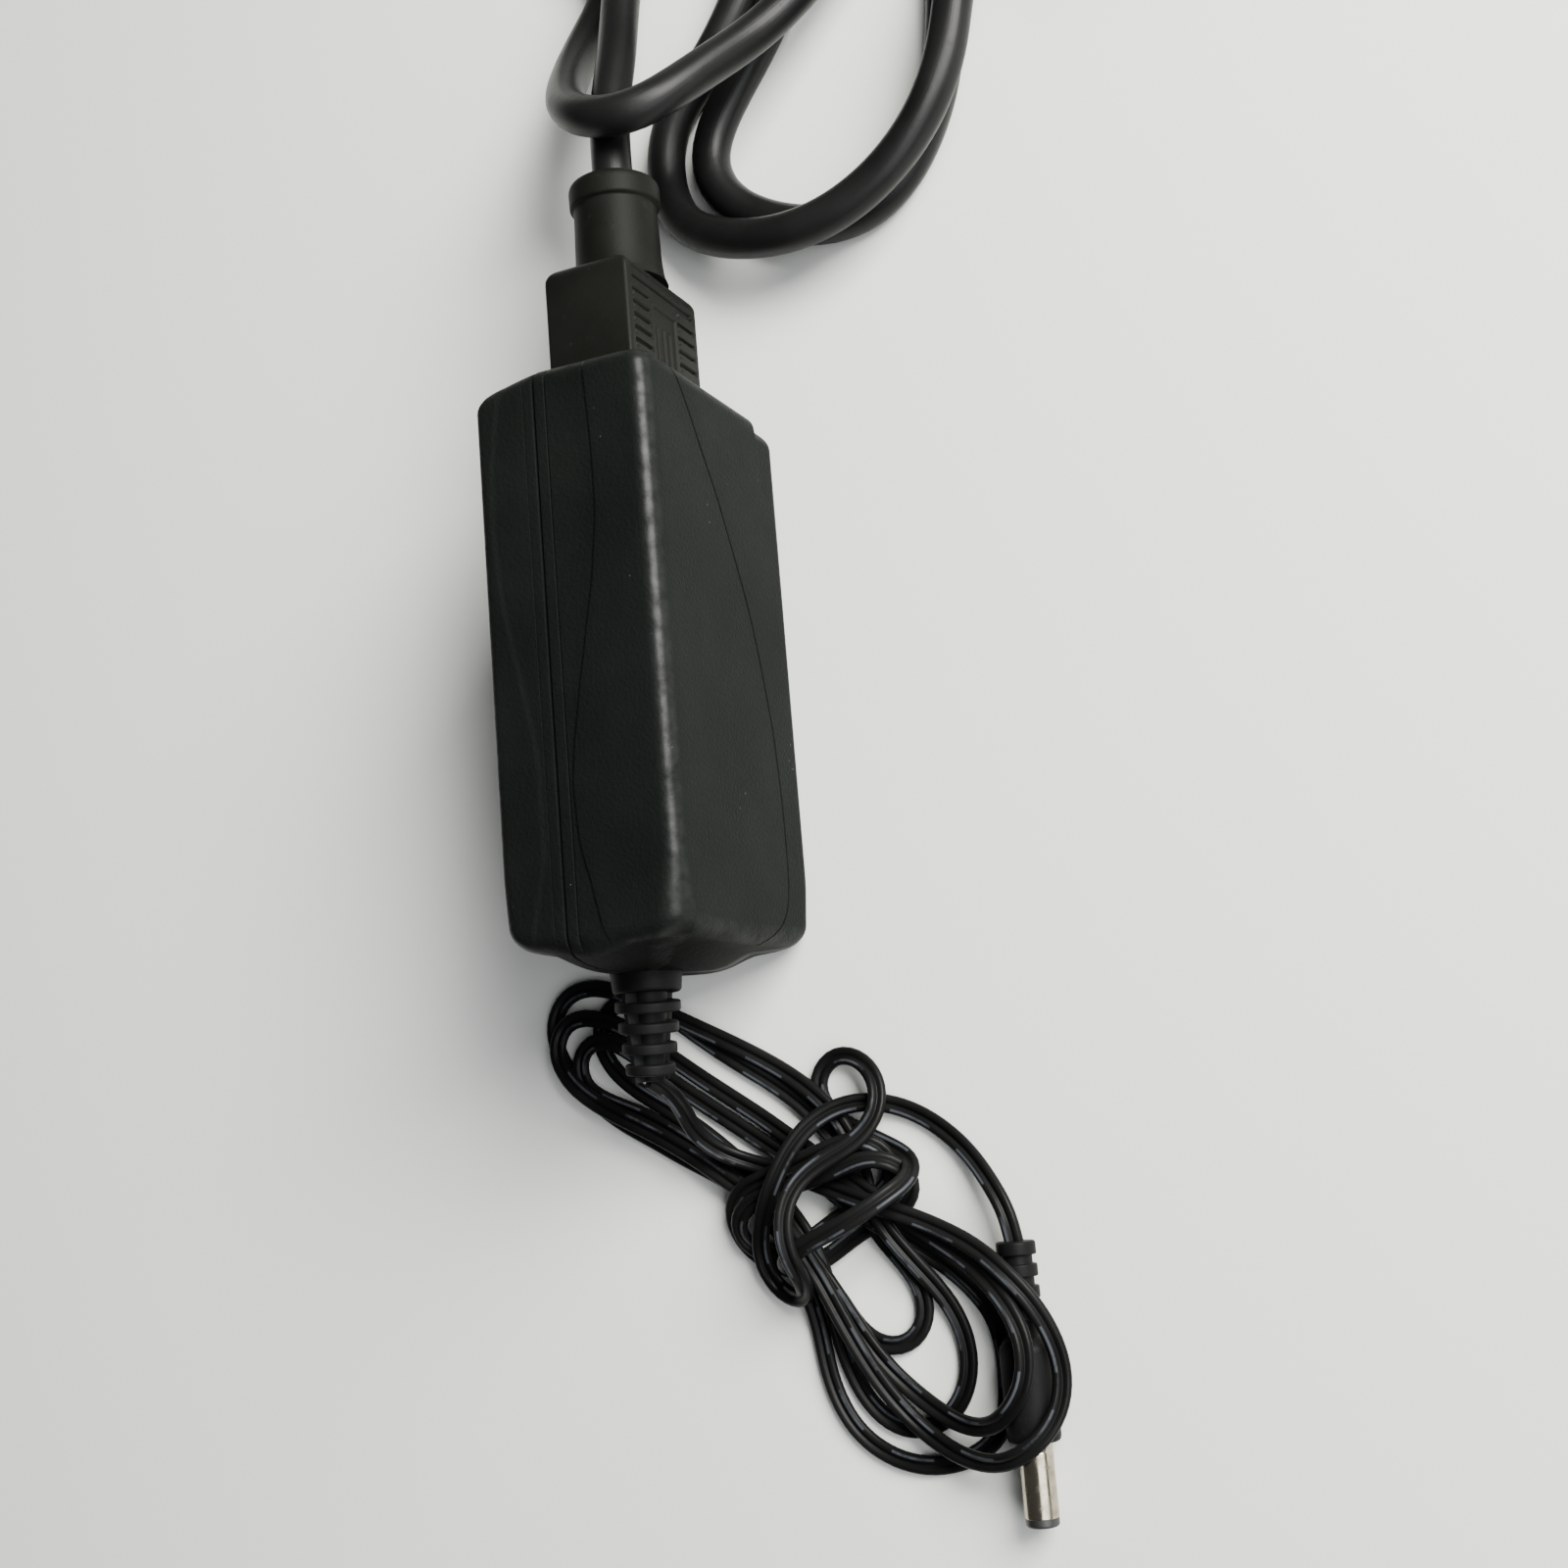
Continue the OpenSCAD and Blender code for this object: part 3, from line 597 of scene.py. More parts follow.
def makeMainsCord():
    # radius = mean radius plus a small three-start swell that turns once each lay length
    outer, middle, inner = mainsCord["hankRadii"]
    route = mainsCord["firstLoop"] + mainsCord["outerRun"] + hankTurn(outer, [206], [202, 187, 172, 156])
    route = route + mainsCord["secondLoop"] + mainsCord["middleRun"]
    route = route + hankTurn(middle, [162, 175, 189, 203], [202, 187, 171, 155])
    route = route + mainsCord["thirdLoop"] + mainsCord["innerRun"]
    route = route + hankTurn(inner, [162, 175, 189, 203], [202, 187, 170, 155])
    route = route + mainsCord["underRun"] + mainsCord["tail"]
    path = evenly(softened(through(route, 1.0), 40), mainsCord["ringStep"])
    run = np.linspace(0, lengthOf(path), len(path))
    angle = np.linspace(0, 2 * np.pi, mainsCord["sides"], endpoint=False)
    radius = mainsCord["radius"] + mainsCord["swell"] * np.cos(
        3 * (angle[None, :] - 2 * np.pi * run[:, None] / mainsCord["layLength"]))
    outline = np.stack([radius * np.cos(angle), radius * np.sin(angle)], -1)
    up = np.tile([0.0, 0.0, 1.0], (len(path), 1))
    rings = capped(carried(path, up, outline))
    alongField = np.repeat(np.concatenate([[run[0]], run, [run[-1]]]), mainsCord["sides"])
    aroundField = np.tile(np.cos(angle), len(rings))
    cord = makePiece("mainsCord", rings, gridQuads(len(rings), mainsCord["sides"], closeColumns=True),
                     "mains_lead", "cord_pvc",
                     ["mains_cord_first_loop", "mains_cord_second_loop", "mains_cord_third_loop",
                      "mains_cord_hank", "mains_cord_tail"],
                     sharp=60, fields={"alongCord": alongField, "aroundCord": aroundField})
    print("mains cord made:", round(run[-1]), "mm")
    return cord, path


mainsCordPiece, mainsPath = makeMainsCord()


# low-voltage cord: flat, two cores, wound up and tied round itself

flatCord = {
    "coreRadius": 0.76,
    "coreApart": 0.82,
    "web": 0.26,
    "ringStep": 1.4,
    "route": [
        # place, and the way the flat face looks where that isn't straight up
        (-6, -67.6, 22.8, 0.4, -0.2, 0.9), (-4.7, -69.7, 19.2, 0.4, -0.2, 0.9),
        (-5.1, -72.6, 14, 0.4, -0.2, 0.9), (-5.1, -76.8, 9.7, 0.3, -0.1, 0.9),
        (-2.4, -80.4, 5.8, 0.3, -0.1, 1), (2.5, -82.8, 3.4, 0.2, -0.1, 1),
        (8.2, -84.7, 2.9, 0.1, -0.1, 1), (13.9, -86.8, 3.6, 0.1, -0.1, 1), (19.5, -89, 4.8, 0.2, -0.1, 1),
        (25.4, -91.1, 5.6, 0.2, -0.1, 1), (31.2, -93.2, 5.6, 0.3, -0.1, 1),
        (36.8, -95.7, 5.9, 0.3, -0.1, 0.9), (42.1, -98.5, 7.2, 0.4, -0.2, 0.9),
        (46.7, -102.1, 8.8, 0.4, -0.2, 0.9), (50.6, -106.7, 8.4, 0.4, -0.2, 0.9),
        (53.1, -112, 7, 0.4, -0.2, 0.9), (54.4, -117.9, 6.6, 0.4, -0.2, 0.9),
        (53.7, -123.6, 7.9, 0.4, -0.2, 0.9), (50.5, -128.2, 9.8, 0.4, -0.2, 0.9),
        (45.4, -131.1, 9.2, 0.3, -0.2, 0.9), (40.1, -131.9, 6.5, 0.3, -0.1, 0.9),
        (34.6, -130.7, 4.2, 0.2, -0.1, 1), (29.5, -127.7, 3, 0.1, -0.1, 1),
        (25.2, -123.5, 3, 0.1, -0.1, 1), (21.8, -118.5, 3.9, 0.1, -0.1, 1),
        (19, -113.2, 4.7, 0.2, -0.1, 1), (16.4, -107.8, 5.2, 0.2, -0.1, 1),
        (13.9, -102.3, 5.8, 0.2, -0.1, 1), (10.7, -97.2, 5.6, 0.2, -0.1, 1),
        (6.8, -92.7, 4.5, 0.2, -0.1, 1), (2.2, -88.8, 3.7, 0.1, -0.1, 1), (-2.8, -85.2, 3.5, 0.1, 0, 1),
        (-7.7, -81.7, 3.3, 0.1, 0, 1), (-12.9, -78.5, 2.9, 0.1, 0, 1), (-18.2, -75.5, 2.8, 0.1, 0, 1),
        (-23.5, -72.6, 3.3, 0.1, 0, 1), (-28.6, -69.4, 3.7, 0.1, 0, 1), (-33, -65.3, 3.8, 0.1, 0, 1),
        (-35.3, -59.9, 3.4, 0.1, 0, 1), (-32.6, -55.1, 3.2, 0.1, 0, 1), (-26.8, -55, 2.9),
        (-21.5, -57.5, 1.6), (-16.5, -61, 1), (-11.5, -64.6, 1), (-6.5, -68.2, 1), (-1.4, -71.7, 1),
        (3.8, -75.3, 1.1), (8.9, -79, 1.6), (14.1, -82.6, 2.5, 0.1, 0, 1), (19.3, -86.1, 3.7, 0.1, 0, 1),
        (24.5, -89.7, 4.4, 0.1, -0.1, 1), (29.3, -93.5, 4.1, 0.2, -0.1, 1),
        (34.3, -96.9, 4.1, 0.2, -0.1, 1), (39.3, -100.2, 5.2, 0.3, -0.1, 1),
        (43.7, -103.8, 7.3, 0.3, -0.1, 0.9), (47.4, -108.2, 9, 0.4, -0.2, 0.9),
        (49.6, -113.8, 9.9, 0.4, -0.2, 0.9), (48.9, -119.6, 10.2, 0.4, -0.2, 0.9),
        (45.3, -124.3, 9.4, 0.3, -0.2, 0.9), (40.5, -126.5, 6.5, 0.3, -0.1, 1),
        (35.2, -126, 3.8, 0.2, -0.1, 1), (30, -123.4, 2, 0.1, 0, 1), (25.3, -119.6, 1.6),
        (21.5, -115, 2.4), (18.3, -109.8, 3, 0.1, 0, 1), (15.3, -104.4, 3.6, 0.1, 0, 1),
        (11.9, -99.2, 3.9, 0.1, 0, 1), (7.9, -94.6, 3.2, 0.1, 0, 1), (3.7, -90.4, 2.2),
        (-0.6, -86.3, 1.8), (-5.2, -82.3, 1.8), (-10.2, -78.7, 1.4), (-15.3, -75.5, 1),
        (-20.6, -72.5, 1.1), (-26.1, -70, 1.8), (-30.8, -66.7, 1.9), (-30.7, -61.1, 2.6),
        (-25.6, -58.8, 3.3), (-20.5, -61.6, 2.7), (-16, -65.6, 1.6), (-11.2, -69.2, 1), (-6.2, -72.7, 1),
        (-1.1, -76.2, 1), (4, -79.8, 1), (9.1, -83.3, 1), (14.1, -87, 1.5), (19, -90.7, 2.8),
        (24.2, -94.2, 3), (29.1, -97.4, 1.8), (33.8, -100.8, 1), (38.2, -104.6, 1), (41.8, -109.2, 1),
        (43.3, -114.8, 1), (43.2, -120.6, 1), (42.4, -126.3, 1), (38.7, -130.6, 1), (33.3, -132.8, 1),
        (27.4, -133.1, 1), (21.8, -131.4, 1), (17, -127.9, 1), (13.8, -122.9, 1), (12.1, -117.3, 1),
        (11.3, -111.4, 1), (10.3, -105.6, 1.9), (8.4, -100, 2.7), (5.8, -94.7, 2), (2, -90.2, 1),
        (-2.5, -86.2, 1), (-7.6, -83.2, 1), (-12.9, -80.3, 1), (-18, -77.2, 1), (-23.3, -74.2, 1),
        (-28.2, -70.5, 1), (-32.6, -66.2, 1), (-35.9, -61.2, 1), (-36.9, -55.4, 1), (-33.9, -50.5, 1.1),
        (-28.3, -49.3, 1.5), (-22.5, -50.8, 2.1), (-17, -53.4, 2.4), (-11.6, -56.3, 2.3),
        (-6.3, -59.1, 2.1), (-1, -61.9, 1.9), (4.2, -64.9, 1.5), (9.2, -68, 1.8), (13.9, -71.5, 2.5),
        (17.9, -75.8, 2.5), (20.6, -81, 2.4), (22.2, -86.6, 2.7, 0.1, 0, 1),
        (24.1, -92.3, 3.8, 0.1, 0, 1), (27.5, -97.4, 3.9, 0.1, 0, 1), (31.1, -102.2, 2.7, 0.1, 0, 1),
        (34.5, -107.1, 1.4), (36.8, -112.6, 1), (37, -118.5, 1), (34.5, -123.9, 1), (29.7, -127.2, 1),
        (23.9, -126.9, 1), (19.3, -123.2, 1), (16.5, -117.9, 1), (14.9, -112.2, 1.4), (14, -106.2, 2.2),
        (13.1, -100.2, 2.7), (10.4, -94.8, 2.4), (6.6, -89.9, 1.5), (2.3, -85.5, 1), (-2.4, -81.4, 1),
        (-7.1, -77.4, 1), (-12, -73.8, 1), (-17.1, -70.6, 1), (-22.1, -67.2, 1), (-26.1, -62.8, 1),
        (-27.5, -57.2, 1), (-24.1, -52.7, 1), (-18.3, -52.8, 1), (-13.1, -55.8, 1), (-8.3, -59.4, 1),
        (-3.5, -63, 1), (1.5, -66.4, 1), (6.5, -69.7, 1), (11.2, -73.5, 1), (15.3, -77.9, 1),
        (18.8, -82.8, 1), (21, -88.3, 1.6), (22.6, -93.9, 2.2), (25.9, -98.9, 1.2), (29.4, -103.7, 1),
        (30.5, -109.4, 1), (27, -113.8, 1), (21.4, -113.6, 1), (17.3, -109.6, 1), (14.3, -104.6, 1),
        (9.5, -101.4, 1), (3.7, -99.9, 1), (-1.3, -96.5, 1.1, -0.1, -0.1, 1),
        (-2.9, -91.3, 2.6, -0.2, -0.3, 0.9), (0.1, -87.3, 5.3, -0.3, -0.6, 0.8),
        (5.4, -85.1, 6.2, -0.2, -0.7, 0.7), (11, -83.4, 6.1, 0.7, -0.2, 0.7),
        (16.6, -81.5, 5.9, 0.8, 0.4, 0.5), (22.2, -80, 5.2, 0.6, 0.4, 0.7),
        (26.9, -82.5, 3.4, 0.4, 0.3, 0.9), (26.4, -87.7, 1.3, 0.2, 0.1, 1), (21.5, -90.6, 1),
        (16.1, -92.9, 1), (11, -96, 1), (5.5, -98, 1.1, -0.1, -0.1, 1),
        (0.2, -97.1, 2.4, -0.2, -0.3, 0.9), (-1, -92.1, 4.9, -0.3, -0.5, 0.8),
        (3.4, -88.7, 6.2, -0.4, -0.7, 0.6), (9.1, -87.2, 6.2, -0.2, -0.7, 0.7),
        (14.9, -85.8, 6.4, 0.6, -0.1, 0.8), (20.6, -84, 6.7, 0.7, 0.4, 0.6),
        (26.5, -83.3, 6.4, 0.6, 0.4, 0.6), (30.7, -86.2, 3.9, 0.4, 0.3, 0.8),
        (29.2, -90.9, 1.2, 0.2, 0.1, 1), (24, -93.4, 1, 0.1, 0, 1), (18.6, -96.1, 1, 0, -0.1, 1),
        (13.7, -99.2, 1.1, -0.1, -0.2, 1), (9.2, -101.2, 4, -0.2, -0.4, 0.9),
        (9.1, -99.6, 9.4, -0.2, -0.5, 0.8), (13.4, -96.7, 11.9, -0.2, -0.4, 0.9),
        (18.8, -94.7, 13.1, 0, -0.2, 1), (24.2, -92.3, 13.3, 0.3, 0.1, 1),
        (29, -89.5, 11.6, 0.5, 0.3, 0.8), (32, -86.8, 7.6, 0.5, 0.3, 0.8),
        (30.7, -83.8, 3, 0.3, 0.2, 0.9), (26, -81.2, 1.1, 0.1, 0.1, 1), (20.9, -78.5, 1),
        (16.2, -75.1, 1), (14.3, -69.9, 1), (18, -65.7, 1.5, 0.1, 0.1, 1),
        (23.4, -66.8, 2.8, 0.3, 0.2, 1), (26.6, -71.3, 4.1, 0.5, 0.3, 0.8),
        (26, -76.7, 5.7, 0.6, 0.4, 0.7), (22.1, -80.7, 7.3, 0.6, 0.4, 0.7),
        (17, -83.2, 8.9, 0.5, 0.3, 0.8), (12.9, -86.7, 11.1, 0.3, 0, 0.9),
        (11.3, -91.9, 13.1, 0.2, -0.2, 1), (11.7, -97.7, 13, 0.2, -0.2, 1),
        (12.4, -102.3, 9.4, 0.2, -0.2, 1), (10.4, -105.4, 4.8, 0.2, -0.1, 1),
        (5.7, -104.9, 2, 0.1, -0.1, 1), (2.6, -100.3, 2.7, 0.1, -0.1, 1), (3.2, -95.1, 4.9, 0.2, -0.1, 1),
        (5.6, -90.4, 7.4, 0.3, -0.1, 0.9), (8.4, -85.6, 8.8, 0.3, -0.2, 0.9),
        (11.3, -80.6, 7.9, 0.3, -0.1, 0.9), (14.9, -76.5, 5.8, 0.3, -0.1, 1),
        (19.9, -74.1, 3.7, 0.2, -0.1, 1), (25.5, -74.1, 1.8, 0.1, 0, 1), (31.1, -76, 1),
        (36.2, -79.3, 1.1), (40.6, -83.5, 1.8), (44.2, -88.3, 3.3, 0.1, 0, 1),
        (47.1, -93.6, 4.6, 0.1, -0.1, 1), (48, -99.5, 4.3, 0.2, -0.1, 1),
    ],
}


def figureEight(radius, apart, web, samples=32):
    # farthest crossing of two circles set apart along x, and never thinner than the web between them
    angle = np.linspace(0, 2 * np.pi, samples, endpoint=False) + np.pi / samples
    c, s = np.cos(angle), np.sin(angle)
    reach = np.abs(c) * apart + np.sqrt(np.maximum(radius ** 2 - (s * apart) ** 2, 0))
    inside = np.abs(s) * apart > radius * 0.985
    waist = web / np.maximum(np.abs(s), 1e-6)
    reach = np.where(inside, waist, np.maximum(reach, web * 0.9))
    return np.stack([reach * c, reach * s], 1)


def makeFlatCord():
    rows = np.array([(row + (0, 0, 1))[:6] for row in flatCord["route"]], float)
    path = softened(evenly(through(rows[:, :3], 0.7), flatCord["ringStep"]), 4)
    control = np.concatenate([[0], np.cumsum(np.linalg.norm(np.diff(rows[:, :3], axis=0), axis=1))])
    at = np.linspace(0, control[-1], len(path))
    hints = softened(unitRows(np.stack([np.interp(at, control, rows[:, 3 + k]) for k in range(3)], 1)), 12)
    outline = figureEight(flatCord["coreRadius"], flatCord["coreApart"], flatCord["web"])
    rings = capped(carried(path, hints, outline))
    run = np.linspace(0, lengthOf(path), len(path))
    alongField = np.repeat(np.concatenate([[run[0]], run, [run[-1]]]), len(outline))
    width = flatCord["coreRadius"] + flatCord["coreApart"]
    fields = {"alongCord": alongField, "coreSide": np.tile(outline[:, 0] / width, len(rings)),
              "coreFace": np.tile(outline[:, 1], len(rings))}
    cord = makePiece("lowVoltageCord", rings, gridQuads(len(rings), len(outline), closeColumns=True),
                     "adapter", "cord_pvc", ["dc_cord_start", "dc_cord_hank", "dc_cord_tail"],
                     sharp=70, fields=fields, finish="flat_cord")
    print("low-voltage cord made:", round(run[-1]), "mm")
    return cord, path


flatCordPiece, flatPath = makeFlatCord()


# case: two hollow shells, each one closed grid of its outside, its inside and the edges between

case = {
    "halfLength": 46.0,
    "halfThickness": 16.0,
    "height": 50.0,
    "wall": 2.0,
    "partingX": -4.7,
    "endRadius": 3.0,
    "seamGap": 0.16,
    "seamDepth": 0.9,
    "bulgeHeight": 1.8,
    "bulgeReach": (19.0, 40.0),
    "moundHeight": 2.4,
    "moundMiddle": (-2.2, 25.0),
    "moundReach": (12.5, 29.0),
    "holeRadius": 4.05,
    "holeHeight": 24.5,
    "inletHalfWidth": 9.9,
    "inletHalfHeight": 14.6,
    "stepDepth": 0.2,
    "lineWidth": 0.1,
    "grooveDepth": 0.6,
    "grooveWidth": 0.2,
    "labelHalfLength": 34.0,
    "labelLow": 8.0,
    "labelHigh": 42.0,
    "labelDepth": 0.6,
    "labelEdge": 0.12,
    "collarLow": 8.4,
    "collarPush": 1.8,
}

thickShell = {
    "name": "thickHalf", "node": "thick_shell", "side": 1, "ridgeRadius": 3.0, "cornerSwell": 2.2,
    "line": 2.2, "lineDepth": 0.34, "stepReach": 0.3,
    "arc": [
        (46, 4.6), (33, 5.4), (21.5, 5.4), (11, 4.1), (-6.6, 0.5), (-15.7, -1.1), (-21.4, -1.8),
        (-31.2, -1.3), (-43.5, 2), (-46, 2.8)],
    "groove": [
        (50, 44.5), (44.8, 39.9), (36.1, 32.1), (27.8, 26.4), (18.9, 21.6), (10.6, 17.4), (3.7, 14.9),
        (-5.9, 12.2), (-10.4, 11.1), (-20.3, 9.9), (-28.5, 9.5), (-36.7, 9.7), (-40.8, 10.8),
        (-43.8, 14.3), (-46.3, 19.6), (-51, 28)],
}

thinShell = {
    "name": "thinHalf", "node": "thin_shell", "side": -1, "ridgeRadius": 1.7, "cornerSwell": 1.2,
    "line": 2.0, "lineDepth": 0.05, "stepReach": 0.65,
    "arc": [
        (46, -10.9), (42.4, -11.6), (31.7, -13.2), (21.9, -13.6), (9.4, -12.6), (-6.7, -9.5),
        (-15.9, -7.9), (-24.6, -7.4), (-32.1, -7.6), (-41.5, -9.9), (-46, -11)],
}


def smoothCurve(table, at):
    # values read from a table of (position, value), rounded off by a running mean
    table = np.array(sorted(table), float)
    fine = np.linspace(table[0, 0], table[-1, 0], 600)
    values = softened(np.interp(fine, table[:, 0], table[:, 1])[:, None], 160)[:, 0]
    return np.interp(at, fine, values)


def lanes(*stops):
    # columns between moving stops: each stop is (place on every ring, steps to the next stop)
    out = []
    for (here, steps), (following, _) in zip(stops[:-1], stops[1:]):
        share = np.arange(steps) / steps
        out.append(here[:, None] * (1 - share) + following[:, None] * share)
    out.append(stops[-1][0][:, None])
    return np.concatenate(out, 1)


def caseSheet(shell, wall):
    # profile across the case (half of a rounded rectangle) carried along it, rounded at both ends and
    # drawn in over the end faces to the cord's hole and to the inlet's opening
    side = shell["side"]
    radius = case["endRadius"] - wall
    half = case["halfLength"] - wall
    turn = np.linspace(0, np.pi / 2, 9)
    long, edge = case["labelHalfLength"], case["labelEdge"]
    body = runs((-half + radius, -long - edge, 9), (-long - edge, edge - long, 1),
                (edge - long, long - edge, 50), (long - edge, long + edge, 1),
                (long + edge, half - radius, 9))
    fanLead = runs((1, 0, 30))
    fanMains = runs((0, 0.62, 12), (0.62, 0.76, 8), (0.76, 1, 5))
    # rows: the lead's end face, its rounding, the body, the other rounding, the mains end face
    fan = np.concatenate([fanLead, np.zeros(7 + len(body) + 8), fanMains])
    angle = np.concatenate([np.full(len(fanLead), np.pi / 2), turn[-2:0:-1], np.zeros(len(body)), turn[1:],
                            np.full(len(fanMains), np.pi / 2)])
    atLead = np.arange(len(fan)) < len(fanLead) + 8
    bulge = radius * np.sin(angle)
    along = np.where(atLead, -half + radius - bulge, half - radius + bulge)
    along[len(fanLead) + 7:][:len(body)] = body
    inset = radius * (1 - np.cos(angle))

    width = case["halfThickness"] - wall - inset - side * case["partingX"]
    top = case["height"] - wall - inset
    bottom = wall + inset
    swell = shell["cornerSwell"] * (1 - smoothStep(along, -47, -34))
    corner = np.maximum(shell["ridgeRadius"] + swell - wall, 0.6) + 0 * inset
    flatEdge = width - corner
    detail = 1.0 if wall == 0 else 0.0

    line = np.full(len(fan), shell["line"])
    arc = side * (smoothCurve(shell["arc"], along) - case["partingX"])
    step = shell["stepReach"]
    arc = np.clip(arc, line + 0.35 + step, flatEdge - 0.1 - step)
    zero = np.zeros(len(fan))
    flat = lanes((zero + 0.42, 3), (line - 0.2, 8), (line + 0.2, 2), (arc - step, 8), (arc + step, 7),
                 (flatEdge, 0))
    lipAcross = np.array([0.0, 1.0, 1.0, 1.35, 2.0]) * case["seamGap"] * detail
    lipDeep = np.array([1.0, 1.0, 0.28, 0.08, 0.015]) * case["seamDepth"] * detail
    if side > 0:
        collar = case["collarLow"]
        groove = np.clip(smoothCurve(shell["groove"], along), collar + 0.7, top - corner - 0.8)
        face = lanes((top - corner, 12), (groove + 0.5, 12), (groove - 0.5, 4), (zero + collar + 0.26, 1),
                     (zero + collar, 1), (zero + collar - 0.26, 2),
                     (np.minimum(bottom + corner, collar - 0.3), 0))
    else:
        low, high = case["labelLow"], case["labelHigh"]
        face = lanes((top - corner, 4), (zero + high + edge, 1), (zero + high - edge, 18),
                     (zero + low + edge, 1), (zero + low - edge, 3),
                     (np.minimum(bottom + corner, low - 0.2), 0))
    lowCorner = face[:, -1] - bottom
    bend = turn[1:-1]
    q = np.concatenate([
        np.broadcast_to(lipAcross, (len(fan), 5)), flat,
        flatEdge[:, None] + corner[:, None] * np.sin(bend), np.broadcast_to(width[:, None], face.shape),
        flatEdge[:, None] + corner[:, None] * np.cos(bend), flat[:, ::-1],
        np.broadcast_to(lipAcross[::-1], (len(fan), 5))], 1)
    z = np.concatenate([
        np.broadcast_to(top[:, None], (len(fan), 5 + flat.shape[1])),
        top[:, None] - corner[:, None] * (1 - np.cos(bend)), face,
        bottom[:, None] + lowCorner[:, None] * (1 - np.sin(bend)),
        np.broadcast_to(bottom[:, None], (len(fan), flat.shape[1] + 5))], 1)
    columns = q.shape[1]
    deep = np.concatenate([lipDeep, np.zeros(columns - 10), lipDeep[::-1]])
    level = np.zeros(5 + flat.shape[1])
    # crest of each rounded edge; the case finish makes it glossier and paints it lighter (partly wear,
    # partly painted highlight)
    crest = np.sin(np.linspace(0.3, np.pi - 0.3, len(bend)))
    ridge = np.concatenate([level, crest, np.zeros(face.shape[1]), crest, level])
    ridge = np.maximum(ridge[None, :], 0.4 * np.sin(2 * angle)[:, None])

    # level step between the two arcs, fine line beside the seam, and the long curved groove
    inward = np.where(np.arange(columns) < len(level), 1.0, 0.0)
    inward = inward - inward[::-1]
    flatness = np.cos(angle)[:, None]
    sunk = case["stepDepth"] * (1 - smoothStep(q, arc[:, None] - step, arc[:, None] + step))
    sunk = sunk + shell["lineDepth"] * np.exp(-((q - shell["line"]) / case["lineWidth"]) ** 2)
    if side > 0:
        reach = smoothStep(along, -46.4, -45.6) * (1 - smoothStep(along, 44.2, 45.2))
        cut = case["grooveDepth"] * np.exp(-((z - groove[:, None]) / case["grooveWidth"]) ** 4)
        cut = cut * reach[:, None]
    else:
        inLabel = smoothStep((high - low) / 2 - np.abs(z - (high + low) / 2), -edge / 2, edge / 2)
        cut = case["labelDepth"] * inLabel * smoothStep(long - np.abs(along), -edge / 2, edge / 2)[:, None]
    q = q - np.where(np.abs(q - width[:, None]) < 1e-9, cut, 0) * detail
    z = z - sunk * flatness * detail * inward[None, :]
    z = z - deep[None, :] * flatness * inward[None, :]

    # end faces: drawn in to the hole round the cord, or to the inlet's opening
    middle = case["height"] / 2
    aim = np.stack([q, z - case["holeHeight"]], -1)
    hole = unitRows(aim) * case["holeRadius"]
    tall = case["inletHalfHeight"]
    openZ = np.clip(z, middle - tall, middle + tall) - case["holeHeight"]
    opening = np.stack([np.clip(q, 0, case["inletHalfWidth"] - side * case["partingX"]), openZ], -1)
    goal = np.where(atLead[:, None, None], hole, opening)
    aim = aim + (goal - aim) * fan[:, None, None]
    q = aim[..., 0]
    z = aim[..., 1] + case["holeHeight"]
    x = case["partingX"] + side * q

    # the mound on the lead's end; on the mains end the collar, or the thin shell's slant
    wide = (x / case["bulgeReach"][0]) ** 2 + ((z - middle) / case["bulgeReach"][1]) ** 2
    spread = ((x - case["moundMiddle"][0]) / case["moundReach"][0]) ** 2
    spread = spread + ((z - case["moundMiddle"][1]) / case["moundReach"][1]) ** 2
    mound = case["bulgeHeight"] * np.clip(1 - wide, 0, 1) ** 0.6
    mound = mound + case["moundHeight"] * smoothStep(1 - spread, -0.02, 0.75)
    if side > 0:
        push = case["collarPush"] * smoothStep(z, collar - 0.25, collar + 0.25)
    else:
        push = 1.7 - 2.4 * (np.maximum(q, 0) / 11.3) ** 1.3
    leadWeight = 1 - smoothStep(along, -half + radius, -half + radius + 7)
    mainsWeight = smoothStep(along, half - radius - 9, half - radius)
    away = -mound * leadWeight[:, None] + push * mainsWeight[:, None]
    y = along[:, None] + away * detail
    y = y + np.where(atLead, 1.0, -1.0)[:, None] * deep[None, :] * np.sin(angle)[:, None]
    return np.stack([x, y, z], -1), ridge


def makeCaseHalf(shell):
    outer, ridge = caseSheet(shell, 0.0)
    inner, _ = caseSheet(shell, case["wall"])
    rows, columns = outer.shape[:2]
    o = np.arange(rows * columns).reshape(rows, columns)
    i = o + rows * columns
    lips = [(o[:-1, 0], o[1:, 0], i[1:, 0], i[:-1, 0]), (o[1:, -1], o[:-1, -1], i[:-1, -1], i[1:, -1])]
    lips = [np.stack(corners, 1) for corners in lips]
    ends = [(o[0, 1:], o[0, :-1], i[0, :-1], i[0, 1:]), (o[-1, :-1], o[-1, 1:], i[-1, 1:], i[-1, :-1])]
    ends = [np.stack(corners, 1) for corners in ends]
    lining = gridQuads(rows, columns, start=o.size)[:, ::-1]
    quads = np.concatenate([gridQuads(rows, columns), lining] + lips + ends)
    points = np.concatenate([outer.reshape(-1, 3), inner.reshape(-1, 3)])
    makePiece(shell["name"], points, quads, "adapter", "case_plastic", [shell["node"]], sharp=28,
              fields={"ridge": np.concatenate([ridge.ravel(), np.zeros(ridge.size)])})


makeCaseHalf(thickShell)
makeCaseHalf(thinShell)
print("case shells made")

# mains connector: ribbed body, round boot

